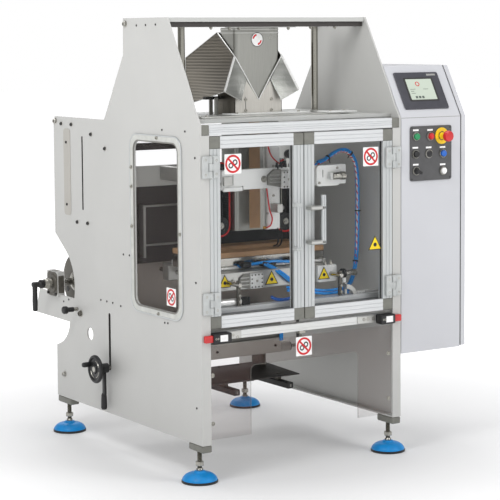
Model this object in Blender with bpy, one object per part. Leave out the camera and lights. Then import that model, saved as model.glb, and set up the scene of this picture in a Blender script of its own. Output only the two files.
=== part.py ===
"""Vertical form fill sealer: a free-standing bagging machine between two side plates.

The machine frame is used for every size below: X runs from the outer face of the left side
plate to the right, Y from the front plane to the rear, Z up from the floor, all in metres.
ORIGIN_X and ORIGIN_Y carry that frame onto the part's own origin, the centre of its base.
"""
import math

import bmesh
import bpy
from mathutils import Matrix, Vector

# ---- driving dimensions -------------------------------------------------------------------
GAP = 0.0003                 # clearance left between touching pieces
WIDTH = 0.800                # across the outer faces of the two side plates
HEIGHT = 1.500               # top of the side plates
PLATE_T = 0.006              # side plate thickness
PLATE_BOTTOM = 0.127
SHOULDER_Z = 1.158           # where the sloping front edge meets the upright one
FLANGE_W = 0.034             # folded front and bottom edges of the side plates
TOP_FRONT_Y, TOP_REAR_Y = 0.198, 0.491
EAR_Z, EAR_REAR_Y = 1.153, 1.020

DOOR_Z = (0.503, 1.121)
DOOR_T = 0.028
RAIL = 0.040                 # width of the door profiles
LEFT_DOOR_X = (0.0355, 0.3985)
RIGHT_DOOR_X = (0.4015, 0.7645)
HINGE_Y, HINGE_R = -0.0070, 0.0065

CABINET_X = (0.803, 1.062)
CABINET_Z = (0.345, 1.156)
CABINET_DEPTH = 0.450
CONSOLE_TOP = (0.101, 1.331)  # Y and Z of the upper edge of the sloping console
CABINET_WALL = 0.003
SIDE_DOOR_X = (1.0625, 1.0860)

TUBE_X, TUBE_Y, TUBE_Z = (0.309, 0.491), (0.275, 0.375), (0.777, 1.466)
TUBE_WALL, TUBE_R = 0.003, 0.014

REEL_Y, REEL_Z = 1.030, 0.540
ADJUST_Y, ADJUST_Z = 0.614, 0.290
DANCER_Y, DANCER_Z = 0.9155, 0.832
JAW_X = (0.155, 0.625)
JAW_ROD_X, JAW_ROD_Z, JAW_ROD_R = (0.190, 0.600), 0.625, 0.008
SEAL_PLANE_Y = 0.325
BELT_R = 0.038
BELT_Z = (0.795, 0.975)
BELT_Y = (0.304, 0.346)

# ---- where the part's own origin lies in the machine frame ---------------------------------
MOST_LEFT = -0.093           # the reel clamp lever
MOST_RIGHT = SIDE_DOOR_X[1]
MOST_FRONT = -0.052          # the emergency stop
MOST_REAR = 1.190            # the tips of the reel horns
ORIGIN_X = (MOST_LEFT + MOST_RIGHT) / 2
ORIGIN_Y = (MOST_FRONT + MOST_REAR) / 2

# ---- materials ----------------------------------------------------------------------------
FINISHES = {                 # colour, roughness, metallic
    "plate_grey": ((0.66, 0.66, 0.64), 0.45, 0.0),
    "cabinet_grey": ((0.76, 0.77, 0.78), 0.40, 0.0),
    "profile": ((0.72, 0.73, 0.74), 0.35, 0.8),
    "stainless": ((0.50, 0.49, 0.46), 0.30, 1.0),
    "polished": ((0.70, 0.70, 0.70), 0.12, 1.0),
    "white_part": ((0.80, 0.80, 0.79), 0.45, 0.0),
    "dark_steel": ((0.10, 0.10, 0.095), 0.50, 0.6),
    "black_plastic": ((0.02, 0.02, 0.02), 0.45, 0.0),
    "grey_plastic": ((0.22, 0.22, 0.22), 0.50, 0.0),
    "slate": ((0.08, 0.08, 0.10), 0.40, 0.0),
    "belt_red": ((0.60, 0.05, 0.04), 0.60, 0.0),
    "foot_blue": ((0.00, 0.22, 0.70), 0.50, 0.0),
    "hose_blue": ((0.01, 0.20, 0.65), 0.40, 0.0),
    "green": ((0.02, 0.35, 0.12), 0.40, 0.0),
    "red": ((0.60, 0.02, 0.02), 0.40, 0.0),
    "blue": ((0.02, 0.08, 0.35), 0.40, 0.0),
    "white": ((0.85, 0.85, 0.85), 0.40, 0.0),
    "clear": ((0.90, 0.94, 0.94), 0.05, 0.0),
}


def finish(name):
    """Returns the named material, made the first time it is asked for."""
    material = bpy.data.materials.get(name)
    if material is None:
        colour, roughness, metallic = FINISHES[name]
        material = bpy.data.materials.new(name)
        material.use_nodes = True
        shader = material.node_tree.nodes["Principled BSDF"]
        shader.inputs["Base Color"].default_value = (*colour, 1.0)
        shader.inputs["Roughness"].default_value = roughness
        shader.inputs["Metallic"].default_value = metallic
        if name == "clear":
            shader.inputs["Alpha"].default_value = 0.3
    return material


# ---- solids as bmeshes, in the machine frame -----------------------------------------------
def box(x, y, z):
    """A block between the limits x, y and z."""
    bm = bmesh.new()
    bmesh.ops.create_cube(bm, size=1.0)
    size = Vector((x[1] - x[0], y[1] - y[0], z[1] - z[0]))
    centre = Vector((x[0] + x[1], y[0] + y[1], z[0] + z[1])) / 2
    bmesh.ops.transform(bm, matrix=Matrix.Translation(centre) @ Matrix.Diagonal((*size, 1)), verts=bm.verts)
    return bm


def prism(outline, axis, low, high):
    """A closed outline pushed along an axis. The outline holds the other two coordinates."""
    bm = bmesh.new()
    order = {"x": lambda a, b: (low, a, b), "y": lambda a, b: (a, low, b), "z": lambda a, b: (a, b, low)}
    face = bm.faces.new([bm.verts.new(order[axis](a, b)) for a, b in outline])
    push = {"x": (high - low, 0, 0), "y": (0, high - low, 0), "z": (0, 0, high - low)}[axis]
    pushed = bmesh.ops.extrude_face_region(bm, geom=[face])
    moved = [v for v in pushed["geom"] if isinstance(v, bmesh.types.BMVert)]
    bmesh.ops.translate(bm, vec=push, verts=moved)
    bmesh.ops.recalc_face_normals(bm, faces=bm.faces)
    return bm


def turned(profile, axis, centre, segments=20):
    """A body turned about an axis through centre; profile is a list of (distance along, radius)."""
    bm = bmesh.new()
    to_axis = {
        "x": Matrix(((0, 0, 1), (1, 0, 0), (0, 1, 0))),
        "y": Matrix(((0, 1, 0), (0, 0, 1), (1, 0, 0))),
        "z": Matrix.Identity(3),
    }[axis]
    rings = []
    for along, radius in profile:
        ring = []
        for i in range(segments):
            turn = 2 * math.pi * i / segments
            local = Vector((radius * math.cos(turn), radius * math.sin(turn), along))
            ring.append(bm.verts.new(to_axis @ local + Vector(centre)))
        rings.append(ring)
    for first, second in zip(rings, rings[1:]):
        for i in range(segments):
            j = (i + 1) % segments
            bm.faces.new((first[i], first[j], second[j], second[i]))
    bm.faces.new(rings[0])
    bm.faces.new(rings[-1])
    bmesh.ops.recalc_face_normals(bm, faces=bm.faces)
    return bm


def rod(axis, centre, low, high, radius, segments=20):
    """A plain round bar; low and high are the distances of its ends from centre."""
    return turned([(low, radius), (high, radius)], axis, centre, segments)


def rounded_outline(a, b, radius, steps=5):
    """A rectangle between the limits a and b with its corners rounded."""
    points = []
    corners = ((a[1], b[1], 0), (a[0], b[1], 90), (a[0], b[0], 180), (a[1], b[0], 270))
    for ca, cb, start in corners:
        centre_a = ca - radius if start in (0, 270) else ca + radius
        centre_b = cb - radius if start in (0, 90) else cb + radius
        for i in range(steps + 1):
            turn = math.radians(start + 90 * i / steps)
            points.append((centre_a + radius * math.cos(turn), centre_b + radius * math.sin(turn)))
    return points


def combine(base, others, operation):
    """Joins others to base, or cuts them from it, one after another, and returns one mesh."""
    holder = bpy.data.objects.new("base", bpy.data.meshes.new("base"))
    base.to_mesh(holder.data)
    base.free()
    bpy.context.collection.objects.link(holder)
    tools = []
    for other in others:
        tool = bpy.data.objects.new("tool", bpy.data.meshes.new("tool"))
        other.to_mesh(tool.data)
        other.free()
        bpy.context.collection.objects.link(tool)
        step = holder.modifiers.new("step", "BOOLEAN")
        step.operation, step.solver, step.object = operation, "EXACT", tool
        tools.append(tool)
    evaluated = holder.evaluated_get(bpy.context.evaluated_depsgraph_get())
    result = bmesh.new()
    result.from_mesh(evaluated.to_mesh())
    evaluated.to_mesh_clear()
    for thing in [holder, *tools]:
        mesh = thing.data
        bpy.data.objects.remove(thing)
        bpy.data.meshes.remove(mesh)
    return result


def join(base, *others):
    """One closed body from overlapping ones."""
    return combine(base, others, "UNION")


def cut(base, *others):
    """The base with the others removed from it."""
    return combine(base, others, "DIFFERENCE")


def piece(name, bm, material, origin=None, parent=None):
    """Makes a named object whose origin is the machine-frame point origin."""
    if origin is None:
        low = [min(v.co[i] for v in bm.verts) for i in range(3)]
        high = [max(v.co[i] for v in bm.verts) for i in range(3)]
        origin = [(a + b) / 2 for a, b in zip(low, high)]
    bmesh.ops.remove_doubles(bm, verts=bm.verts, dist=0.00002)
    bmesh.ops.triangulate(bm, faces=[f for f in bm.faces if len(f.verts) > 4])
    bmesh.ops.translate(bm, vec=-Vector(origin), verts=bm.verts)
    mesh = bpy.data.meshes.new(name)
    bm.to_mesh(mesh)
    bm.free()
    mesh.shade_smooth()
    mesh.set_sharp_from_angle(angle=math.radians(35))
    mesh.materials.append(finish(material))
    obj = bpy.data.objects.new(name, mesh)
    bpy.context.collection.objects.link(obj)
    obj.location = Vector(origin) - Vector((ORIGIN_X, ORIGIN_Y, 0))
    if parent is not None:
        obj.parent = parent
        obj.location -= parent.location
    return obj


def pivot(name, point):
    """An empty on a joint's axis, at a point of the machine frame."""
    empty = bpy.data.objects.new(name, None)
    empty.empty_display_size = 0.05
    empty.location = Vector(point) - Vector((ORIGIN_X, ORIGIN_Y, 0))
    bpy.context.collection.objects.link(empty)
    return empty


# ---- side plates ---------------------------------------------------------------------------
def side_outline():
    """The side plate's outline in Y and Z: sloping top, rear ear, reel recess and reel horn."""
    points = [
        (0.0, PLATE_BOTTOM), (0.0, SHOULDER_Z), (0.030, 1.203), (0.058, 1.258), (TOP_FRONT_Y, HEIGHT),
        (TOP_REAR_Y, HEIGHT), (TOP_REAR_Y + 0.002, 1.377), (0.635, EAR_Z),
        (EAR_REAR_Y - 0.012, EAR_Z), (EAR_REAR_Y, EAR_Z - 0.016), (EAR_REAR_Y, 0.728),
    ]
    recess = 0.158
    for i in range(9):
        turn = math.radians(128 + (195 - 128) * i / 8)
        points.append((REEL_Y + recess * math.cos(turn), REEL_Z + recess * math.sin(turn)))
    points += [(1.155, 0.506), (MOST_REAR, 0.414), (0.914, 0.411)]
    low, bend, high = Vector((0.914, 0.411)), Vector((0.925, 0.338)), Vector((EAR_REAR_Y, 0.314))
    for i in range(1, 7):
        t = i / 6
        points.append(tuple((1 - t) ** 2 * low + 2 * t * (1 - t) * bend + t * t * high))
    points.append((EAR_REAR_Y, PLATE_BOTTOM))
    return points


def side_plate(name, outer_x, inward, window):
    """A side plate with folded edges. inward is +1 on the left plate and -1 on the right one."""
    def span(near, far):
        return tuple(sorted((outer_x + inward * near, outer_x + inward * far)))

    through = span(-0.03, 0.06)
    plate = prism(side_outline(), "x", *span(0, PLATE_T))
    front_fold = box(span(0, FLANGE_W), (0, PLATE_T), (PLATE_BOTTOM, 1.124))
    bottom_fold = box(span(0, FLANGE_W), (0, EAR_REAR_Y), (PLATE_BOTTOM, PLATE_BOTTOM + 0.005))
    reel_block = box(span(-0.010, 0.018), (REEL_Y - 0.043, REEL_Y + 0.043), (0.492, 0.585))
    plate = join(plate, front_fold, bottom_fold, reel_block)
    cuts = [
        prism(rounded_outline((0.894, 0.937), (0.804, 1.107), 0.012), "x", *through),
        prism(rounded_outline((0.795, 0.804), (0.826, 1.089), 0.004, 3), "x", *through),
        prism(rounded_outline((ADJUST_Y - 0.0070, ADJUST_Y + 0.0070), (0.280, 0.481), 0.0065, 4), "x", *through),
        rod("x", (0, 0.760, 0.388), *through, 0.023),
        rod("x", (0, REEL_Y, REEL_Z), *through, 0.0130, 32),
    ]
    if window:
        cuts.append(prism(rounded_outline((0.138, 0.425), (0.538, 1.091), 0.030), "x", *through))
    piece(name, cut(plate, *cuts), "plate_grey", origin=(outer_x, 0, PLATE_BOTTOM))


def make_frame():
    """The fixed structure between and on the side plates."""
    side_plate("left_side_plate", 0.0, 1, True)
    side_plate("right_side_plate", WIDTH, -1, False)
    inside = (PLATE_T + GAP, WIDTH - PLATE_T - GAP)
    pane = prism(rounded_outline((0.120, 0.443), (0.520, 1.109), 0.030), "x", 0.0063, 0.0103)
    piece("window_pane", pane, "clear")
    channel = prism([(0.200, 1.4995), (0.262, 1.4995), (0.262, 1.468), (0.258, 1.468), (0.258, 1.4955),
                     (0.216, 1.4955), (0.216, 1.468), (0.212, 1.468), (0.212, 1.485), (0.200, 1.485)],
                    "x", *inside)
    arms = [box((x - 0.02, x + 0.02), (0.261, 0.345), (1.4880, 1.4990)) for x in (0.129, 0.671)]
    piece("top_cross_beam", join(channel, *arms), "plate_grey")
    for name, x in (("left_post", 0.129), ("right_post", 0.671)):
        piece(name, rod("z", (x, 0.325, 0), 1.1703, 1.4877, 0.0120), "polished")
    piece("rear_top_tie_bar", rod("x", (0, 0.474, 1.481), *inside, 0.0125), "polished")
    piece("lower_rear_tie_bar", rod("x", (0, 0.961, 0.212), *inside, 0.0125), "polished")
    piece("header_profile", box(inside, (0.0, 0.040), (1.1243, 1.1577)), "profile")
    piece("lower_cross_beam", box(inside, (0.018, 0.045), (0.461, 0.488)), "white_part")
    deck = box(inside, (0.046, 0.600), (1.1600, 1.1700))
    hole = prism(rounded_outline((0.3055, 0.4945), (0.2715, 0.3785), 0.014), "z", 1.1, 1.2)
    piece("deck_plate", cut(deck, hole), "plate_grey")
    uprights = [box(x, (0.577, 0.593), (0.980, 1.072)) for x in ((inside[0], 0.030), (0.770, inside[1]))]
    rod_ways = [rod("y", (x, 0, JAW_ROD_Z), 0.57, 0.60, JAW_ROD_R + 0.004, 16) for x in JAW_ROD_X]
    wall = cut(box(inside, (0.579, 0.589), (0.440, 0.990)), *rod_ways)
    partition = [wall, box(inside, (0.575, 0.595), (1.045, 1.070))]
    housing = box((0.090, 0.612), (0.450, 0.580), (0.311, 0.470))
    piece("drive_housing", join(housing, *partition, *uprights), "grey_plastic")


def make_feet():
    """Four levelling feet: threaded block, nut, stem and pad, as they come from the maker."""
    pad = [(0.0, 0.060), (0.008, 0.060), (0.012, 0.056), (0.026, 0.046), (0.034, 0.026), (0.038, 0.018),
           (0.040, 0.008), (0.054, 0.008), (0.054, 0.015), (0.068, 0.015), (0.068, 0.008), (0.104, 0.008)]
    for side, x, block_x in (("left", 0.0175, (0.0, 0.0355)), ("right", WIDTH - 0.0175, (0.7645, 0.800))):
        for end, y, block_y in (("front", 0.049, (0.0, 0.088)), ("rear", 0.963, (0.918, 1.018))):
            stem = turned(pad, "z", (x, y, 0), 20)
            block = box(block_x, block_y, (0.103, PLATE_BOTTOM - GAP))
            piece(f"foot_{end}_{side}", join(stem, block), "foot_blue", origin=(x, y, 0))


# ---- doors ---------------------------------------------------------------------------------
HINGE_ZS = {"upper": 0.988, "lower": 0.550}   # the lower edge of each hinge
HINGE_H = 0.072


def knuckle(x, low, high):
    """One hinge knuckle on the hinge axis at x."""
    return rod("z", (x, HINGE_Y, 0), low, high, HINGE_R, 20)


def make_door(side, door_x, hinge_x, handle_x):
    """A glazed door in a profile frame, its handle, and the fixed halves of its two hinges."""
    towards = 1 if side == "left" else -1
    axis = pivot(f"{side}_door_axis", (hinge_x, HINGE_Y, 0.0))

    def span(near, far):
        return tuple(sorted((hinge_x + towards * near, hinge_x + towards * far)))

    frame = box(door_x, (0.0, DOOR_T), DOOR_Z)
    inner_x = (door_x[0] + RAIL, door_x[1] - RAIL)
    inner_z = (DOOR_Z[0] + RAIL, DOOR_Z[1] - RAIL)
    frame = cut(frame, box(inner_x, (-0.01, DOOR_T + 0.01), inner_z))
    leaves = []
    for level, low in HINGE_ZS.items():
        third = HINGE_H / 3
        middle = (low + third + 0.0005, low + 2 * third - 0.0005)
        leaves.append(box(span(0.0085, 0.032), (-0.010, 0.001), (low, low + HINGE_H)))
        leaves.append(box(span(0.002, 0.009), (-0.010, -0.003), middle))
        leaves.append(knuckle(hinge_x, *middle))
        fixed = box(span(-0.0305, -0.0080), (-0.010, -GAP), (low, low + HINGE_H))
        parts = []
        for start in (low, low + 2 * third + 0.0005):
            stretch = (start, start + third - 0.0005)
            parts.append(box(span(-0.009, -0.002), (-0.010, -0.003), stretch))
            parts.append(knuckle(hinge_x, *stretch))
        piece(f"{side}_hinge_{level}", join(fixed, *parts), "grey_plastic")
    piece(f"{side}_door_frame", join(frame, *leaves), "profile", origin=(hinge_x, HINGE_Y, 0), parent=axis)
    clear = 2 * GAP
    pane = box((inner_x[0] + clear, inner_x[1] - clear), (0.012, 0.016), (inner_z[0] + clear, inner_z[1] - clear))
    piece(f"{side}_door_pane", pane, "clear", origin=(hinge_x, HINGE_Y, 0), parent=axis)
    if side == "left":
        bow = prism([(-GAP, 0.736), (-0.036, 0.736), (-0.036, 0.892), (-GAP, 0.892), (-GAP, 0.880),
                     (-0.025, 0.880), (-0.025, 0.748), (-GAP, 0.748)], "x", *handle_x)
    else:
        bow = box(handle_x, (-0.034, -0.022), (0.752, 0.915))
        for low in (0.752, 0.866):
            arm = box((0.406, handle_x[1] - 0.002), (-0.034, -0.022), (low, low + 0.014))
            foot = box((0.406, 0.438), (-0.024, -GAP), (low, low + 0.014))
            bow = join(bow, arm, foot)
    piece(f"{side}_door_handle", bow, "white_part", origin=(hinge_x, HINGE_Y, 0), parent=axis)


def make_safety_switches():
    """The two door switches under the outer ends of the doors."""
    for name, body_x, key_x in (("left_safety_switch", (0.0345, 0.104), (0.006, 0.036)),
                                ("right_safety_switch", (0.705, 0.7655), (0.764, 0.794))):
        body = box(body_x, (-0.018, 0.0175), (0.457, 0.490))
        key = box(key_x, (-0.014, -0.0006), (0.462, 0.485))
        piece(name, join(body, key), "black_plastic")


# ---- electrical cabinet --------------------------------------------------------------------
def console_outline(inset, foot):
    """The cabinet's outline in Y and Z, drawn in by inset; foot is the height of its underside."""
    slope_y, slope_z = CONSOLE_TOP
    return [
        (inset, foot + inset), (inset, CABINET_Z[1] - inset * 0.3), (slope_y + inset * 0.6, slope_z - inset),
        (CABINET_DEPTH - inset, slope_z - inset), (CABINET_DEPTH - inset, foot + inset),
    ]


def make_cabinet():
    """The electrical cabinet, its side door and what is on its front."""
    shell = prism(console_outline(0.0, CABINET_Z[0]), "x", *CABINET_X)
    room = prism(console_outline(CABINET_WALL, CABINET_Z[0]), "x", CABINET_X[0] + CABINET_WALL, 1.1)
    spacers = [box((WIDTH + GAP, CABINET_X[0] + 0.001), (0.06, 0.14), (z, z + 0.06)) for z in (0.45, 0.95)]
    piece("cabinet_shell", join(cut(shell, room), *spacers), "cabinet_grey", origin=(0.803, 0.0, 0.345))
    hinge = (SIDE_DOOR_X[1] + 0.0015, CABINET_DEPTH + 0.0025, 0.0)
    axis = pivot("cabinet_door_axis", hinge)
    door = prism(console_outline(0.0, CABINET_Z[0] + 0.004), "x", *SIDE_DOOR_X)
    tray = prism(console_outline(0.004, CABINET_Z[0] + 0.004), "x", 1.0, SIDE_DOOR_X[1] - CABINET_WALL)
    door = cut(door, tray)
    piece("cabinet_side_door", door, "cabinet_grey", origin=hinge, parent=axis)

    slope = Vector((0.0, CONSOLE_TOP[0], CONSOLE_TOP[1] - CABINET_Z[1]))
    lean = math.atan2(slope.y, slope.z)
    middle = Vector(((CABINET_X[0] + CABINET_X[1]) / 2 + 0.003, 0, CABINET_Z[1])) + slope * 0.475
    outline = rounded_outline((-0.092, 0.092), (-0.069, 0.069), 0.006, 4)
    hmi = prism(outline, "y", -0.006, -GAP)
    bmesh.ops.transform(hmi, matrix=Matrix.Translation(middle) @ Matrix.Rotation(-lean, 4, "X"), verts=hmi.verts)
    piece("hmi_panel", hmi, "slate")


# X and Z of each control on the button plate, its finish, cap radius and how far it stands out
CONTROLS = {
    "start_button": (0.862, 1.091, "green", 0.0110, 0.016),
    "stop_button": (0.924, 1.090, "red", 0.0110, 0.016),
    "reset_button": (0.860, 1.031, "black_plastic", 0.0110, 0.016),
    "step_button": (0.979, 1.029, "blue", 0.0110, 0.016),
    "film_button": (0.980, 0.969, "white", 0.0110, 0.016),
    "selector_switch": (0.862, 0.973, "black_plastic", 0.0110, 0.024),
    "emergency_stop": (0.974, 1.090, "red", 0.0095, 0.050),
}
LAMP = (0.918, 1.030)
FACE_Y = -0.004              # front of the button plate
BEZEL_Y = -0.0085            # front of the rings round the controls
BORE_MARGIN = 0.0006


def make_controls():
    """The button plate with its rings and lamp, and the controls that move in it."""
    plate = prism(rounded_outline((0.839, 1.019), (0.938, 1.126), 0.008, 4), "y", FACE_Y, -GAP)
    rings = [rod("y", (x, 0, z), BEZEL_Y, -0.002, 0.0145, 16) for x, z, *_ in CONTROLS.values()]
    rings.append(turned([(-0.013, 0.0085), (-0.011, 0.011), (-0.0085, 0.0145), (-0.002, 0.0145)], "y",
                        (LAMP[0], 0, LAMP[1]), 16))
    stop_x, stop_z = CONTROLS["emergency_stop"][:2]
    rings.append(rod("y", (stop_x, 0, stop_z), -0.0062, -0.002, 0.0240, 20))
    bores = [rod("y", (x, 0, z), -0.1, 0.1, r + BORE_MARGIN, 16) for x, z, _, r, _ in CONTROLS.values()]
    piece("button_plate", cut(join(plate, *rings), *bores), "grey_plastic")
    for name, (x, z, material, radius, reach) in CONTROLS.items():
        origin = (x, 0.0, z)
        if name == "emergency_stop":
            cap = turned([(-0.0055, radius), (-0.028, radius), (-0.031, 0.0175), (-0.044, 0.0180),
                          (-0.050, 0.0140), (-0.052, 0.0070)], "y", origin, 16)
        elif name == "selector_switch":
            cap = rod("y", origin, -0.013, -0.0055, radius, 16)
            cap = join(cap, box((x - 0.0035, x + 0.0035), (-reach, -0.012), (z - 0.010, z + 0.010)))
        else:
            cap = turned([(-0.0055, radius), (-reach + 0.001, radius), (-reach, radius - 0.001)], "y", origin, 16)
        piece(name, cap, material, origin=origin)


# ---- forming set ---------------------------------------------------------------------------
def make_forming_set():
    """The rectangular forming tube, and the folded forming shoulder round it."""
    outer = prism(rounded_outline(TUBE_X, TUBE_Y, TUBE_R), "z", *TUBE_Z)
    bore = prism(rounded_outline((TUBE_X[0] + TUBE_WALL, TUBE_X[1] - TUBE_WALL),
                                 (TUBE_Y[0] + TUBE_WALL, TUBE_Y[1] - TUBE_WALL), TUBE_R - TUBE_WALL),
                 "z", TUBE_Z[0] - 0.05, TUBE_Z[1] + 0.05)
    piece("forming_tube", cut(outer, bore), "stainless", origin=(0.400, SEAL_PLANE_Y, TUBE_Z[0]))

    # The collar hugs the tube: a V in front, rising to the back corners. Film runs over it.
    half_x, near_y, far_y, base_z = 0.0955, 0.2705, 0.3795, 1.1703
    centre_x = 0.400
    right = {
        "fold": (half_x, near_y, 1.368), "crest": (half_x, far_y, 1.452),
        "base_front": (half_x, near_y, base_z), "base_back": (half_x, far_y, base_z),
        "tip": (0.088, 0.245, 1.216), "elbow": (0.156, 0.245, 1.251),
        "skirt": (0.255, 0.290, 1.226), "corner": (0.212, 0.405, 1.376), "tail": (0.190, 0.520, 1.235),
    }
    bm = bmesh.new()
    vee = bm.verts.new((centre_x, near_y, 1.222))
    foot = bm.verts.new((centre_x, near_y, base_z))
    sides = []
    for sign in (-1, 1):
        sides.append({key: bm.verts.new((centre_x + sign * x, y, z)) for key, (x, y, z) in right.items()})
    for near in sides:
        bm.faces.new((foot, near["base_front"], near["fold"], vee))
        bm.faces.new((near["base_front"], near["base_back"], near["crest"], near["fold"]))
        bm.faces.new((vee, near["fold"], near["elbow"], near["tip"]))
        bm.faces.new((near["fold"], near["crest"], near["corner"], near["elbow"]))
        bm.faces.new((near["elbow"], near["corner"], near["skirt"]))
        bm.faces.new((near["crest"], near["tail"], near["corner"]))
    left, other = sides
    bm.faces.new((left["base_back"], other["base_back"], other["crest"], left["crest"]))
    bm.faces.new((left["crest"], other["crest"], other["tail"], left["tail"]))
    bmesh.ops.recalc_face_normals(bm, faces=bm.faces)
    bmesh.ops.triangulate(bm, faces=bm.faces)
    bmesh.ops.solidify(bm, geom=bm.faces[:], thickness=0.0022)
    bmesh.ops.recalc_face_normals(bm, faces=bm.faces)
    piece("forming_shoulder", bm, "stainless", origin=(centre_x, SEAL_PLANE_Y, base_z))


# ---- film drive and sealing ----------------------------------------------------------------
BELT_TOUCH = {"left": TUBE_X[0] - 0.0035, "right": TUBE_X[1] + 0.0035}


def belt_loop(x, radius, y):
    """A solid with the outline of a belt round two pulleys, one above the other."""
    points = []
    for centre_z, start in ((BELT_Z[1], 0), (BELT_Z[0], 180)):
        for i in range(13):
            turn = math.radians(start + 180 * i / 12)
            points.append((x + radius * math.cos(turn), centre_z + radius * math.sin(turn)))
    return prism(points, "y", *y)


def make_film_drive():
    """The cross beam in front of the tube, and a pull belt on each side of the tube."""
    beam = box((0.150, 0.650), (0.110, 0.128), (0.930, 1.002))
    arms = []
    for x in (0.199, 0.601):
        arms.append(box((x - 0.012, x + 0.012), (0.127, 0.420), (0.940, 0.992)))
    pane_clear = 0.0107
    end_ties = [box((pane_clear, 0.151), (0.114, 0.128), (0.950, 0.985)),
                box((0.649, WIDTH - PLATE_T - GAP), (0.114, 0.128), (0.950, 0.985))]
    piece("belt_cross_beam", join(beam, *arms, *end_ties), "white_part")
    for side, sign in (("left", -1), ("right", 1)):
        x = BELT_TOUCH[side] + sign * BELT_R
        loop = cut(belt_loop(x, BELT_R, BELT_Y), belt_loop(x, BELT_R - 0.006, (0.2, 0.5)))
        spine = box((x - 0.012, x + 0.012), (0.352, 0.366), (BELT_Z[0] - 0.020, BELT_Z[1] + 0.020))
        upper = rod("y", (x, 0, BELT_Z[1]), BELT_Y[0] - 0.004, 0.353, BELT_R - 0.0055, 20)
        pin = rod("y", (x, 0, BELT_Z[0]), BELT_Y[0] - 0.004, 0.353, 0.006, 20)
        slide_x = tuple(sorted((x + sign * 0.011, x + sign * 0.0345)))
        carrier = box(slide_x, (0.352, 0.366), (0.945, 0.987))
        piece(f"{side}_pull_belt", join(spine, upper, loop, pin, carrier), "belt_red",
              origin=(x, SEAL_PLANE_Y, BELT_Z[0]))
        wheel = rod("y", (x, 0, BELT_Z[0]), BELT_Y[0], BELT_Y[1] - 0.001, BELT_R - 0.0065, 20)
        wheel = cut(wheel, rod("y", (x, 0, BELT_Z[0]), 0.2, 0.5, 0.0065, 20))
        piece(f"{side}_belt_pulley", wheel, "black_plastic", origin=(x, SEAL_PLANE_Y, BELT_Z[0]))


JAW_PROFILE = [(-0.185, 0.598), (-0.145, 0.598), (-0.145, 0.650), (-0.040, 0.650), (-0.040, 0.716),
               (-0.118, 0.716), (-0.118, 0.658), (-0.185, 0.658)]


def make_sealing():
    """The vertical sealing bar in front of the tube, and the two horizontal jaws under it."""
    bar = box((0.376, 0.430), (0.188, 0.216), (0.786, 1.108))
    arm = box((0.392, 0.414), (0.1455, 0.189), (0.845, 0.875))
    piece("vertical_seal_bar", join(bar, arm), "white_part")
    for name, sign in (("front_jaw", 1), ("rear_jaw", -1)):
        outline = [(SEAL_PLANE_Y + sign * y, z) for y, z in JAW_PROFILE]
        jaw = prism(outline, "x", *JAW_X)
        bores = [rod("y", (x, 0, JAW_ROD_Z), 0.0, 0.7, JAW_ROD_R + 0.0005, 16) for x in JAW_ROD_X]
        piece(name, cut(jaw, *bores), "white_part", origin=(0.390, SEAL_PLANE_Y, JAW_ROD_Z))
    rail = box((PLATE_T + GAP, WIDTH - PLATE_T - GAP), (0.062, 0.100), (0.520, 0.556))
    rear = box((PLATE_T + GAP, WIDTH - PLATE_T - GAP), (0.600, 0.625), (0.606, 0.646))
    others = [rear]
    for x in JAW_ROD_X:
        others.append(rod("y", (x, 0, JAW_ROD_Z), 0.066, 0.610, JAW_ROD_R, 16))
        others.append(box((x - 0.012, x + 0.012), (0.070, 0.084), (0.550, 0.642)))
    piece("jaw_guide_frame", join(rail, *others), "stainless")


def make_discharge():
    """The discharge plate on its two rails under the drive housing, and the clear guard in front."""
    plate = prism([(0.330, 0.2430), (0.330, 0.2470), (0.575, 0.2560), (0.575, 0.2520)], "x", 0.200, 0.606)
    parts = []
    for x in (0.318, 0.540):
        parts.append(box((x - 0.012, x + 0.012), (0.290, 0.570), (0.206, 0.228)))
        parts += [box((x - 0.008, x + 0.008), y, (0.227, 0.249)) for y in ((0.360, 0.380), (0.530, 0.560))]
    hangers = [box(x, (0.500, 0.572), (0.250, 0.3107)) for x in ((0.230, 0.246), (0.560, 0.576))]
    piece("discharge_chute", join(plate, *parts, *hangers), "dark_steel")
    sheet = box((FLANGE_W + 0.002, WIDTH - FLANGE_W - 0.002), (0.0063, 0.0103), (0.142, 0.448))
    way = prism(rounded_outline((0.190, 0.623), (0.000, 0.371), 0.018, 5), "y", -0.1, 0.1)
    piece("lower_guard", cut(sheet, way), "clear")


# ---- film reel, dancer and adjuster --------------------------------------------------------
def make_reel():
    """The reel shaft with its two centring flanges, and the lever that clamps it."""
    profile = [(-0.046, 0.0125), (0.070, 0.0125), (0.078, 0.036), (0.084, 0.100), (0.092, 0.100), (0.094, 0.042),
               (0.120, 0.034), (0.122, 0.0125), (0.678, 0.0125), (0.680, 0.034), (0.706, 0.042),
               (0.708, 0.100), (0.716, 0.100), (0.722, 0.036), (0.730, 0.0125), (0.815, 0.0125)]
    piece("reel_shaft", turned(profile, "x", (0, REEL_Y, REEL_Z), 24), "stainless",
          origin=(0, REEL_Y, REEL_Z))
    hub = turned([(-0.0463, 0.016), (-0.062, 0.016), (-0.066, 0.010), (-0.090, 0.010), (-0.093, 0.006)],
                 "x", (0, REEL_Y, REEL_Z), 24)
    arm = turned([(-0.098, 0.003), (-0.094, 0.0065), (-0.030, 0.0080), (0.0, 0.0075)], "z",
                 (-0.0815, REEL_Y, REEL_Z), 20)
    piece("reel_clamp_lever", join(hub, arm), "black_plastic", origin=(-0.046, REEL_Y, REEL_Z))


def make_dancer():
    """The dancer roller that rides up and down in the slots of the rear ears."""
    roller = turned([(0.0010, 0.0110), (0.028, 0.0110), (0.028, 0.025), (0.772, 0.025), (0.772, 0.0110),
                     (0.7990, 0.0110)], "x", (0, DANCER_Y, DANCER_Z), 20)
    piece("dancer_roller", roller, "stainless", origin=(0.400, DANCER_Y, DANCER_Z))


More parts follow.
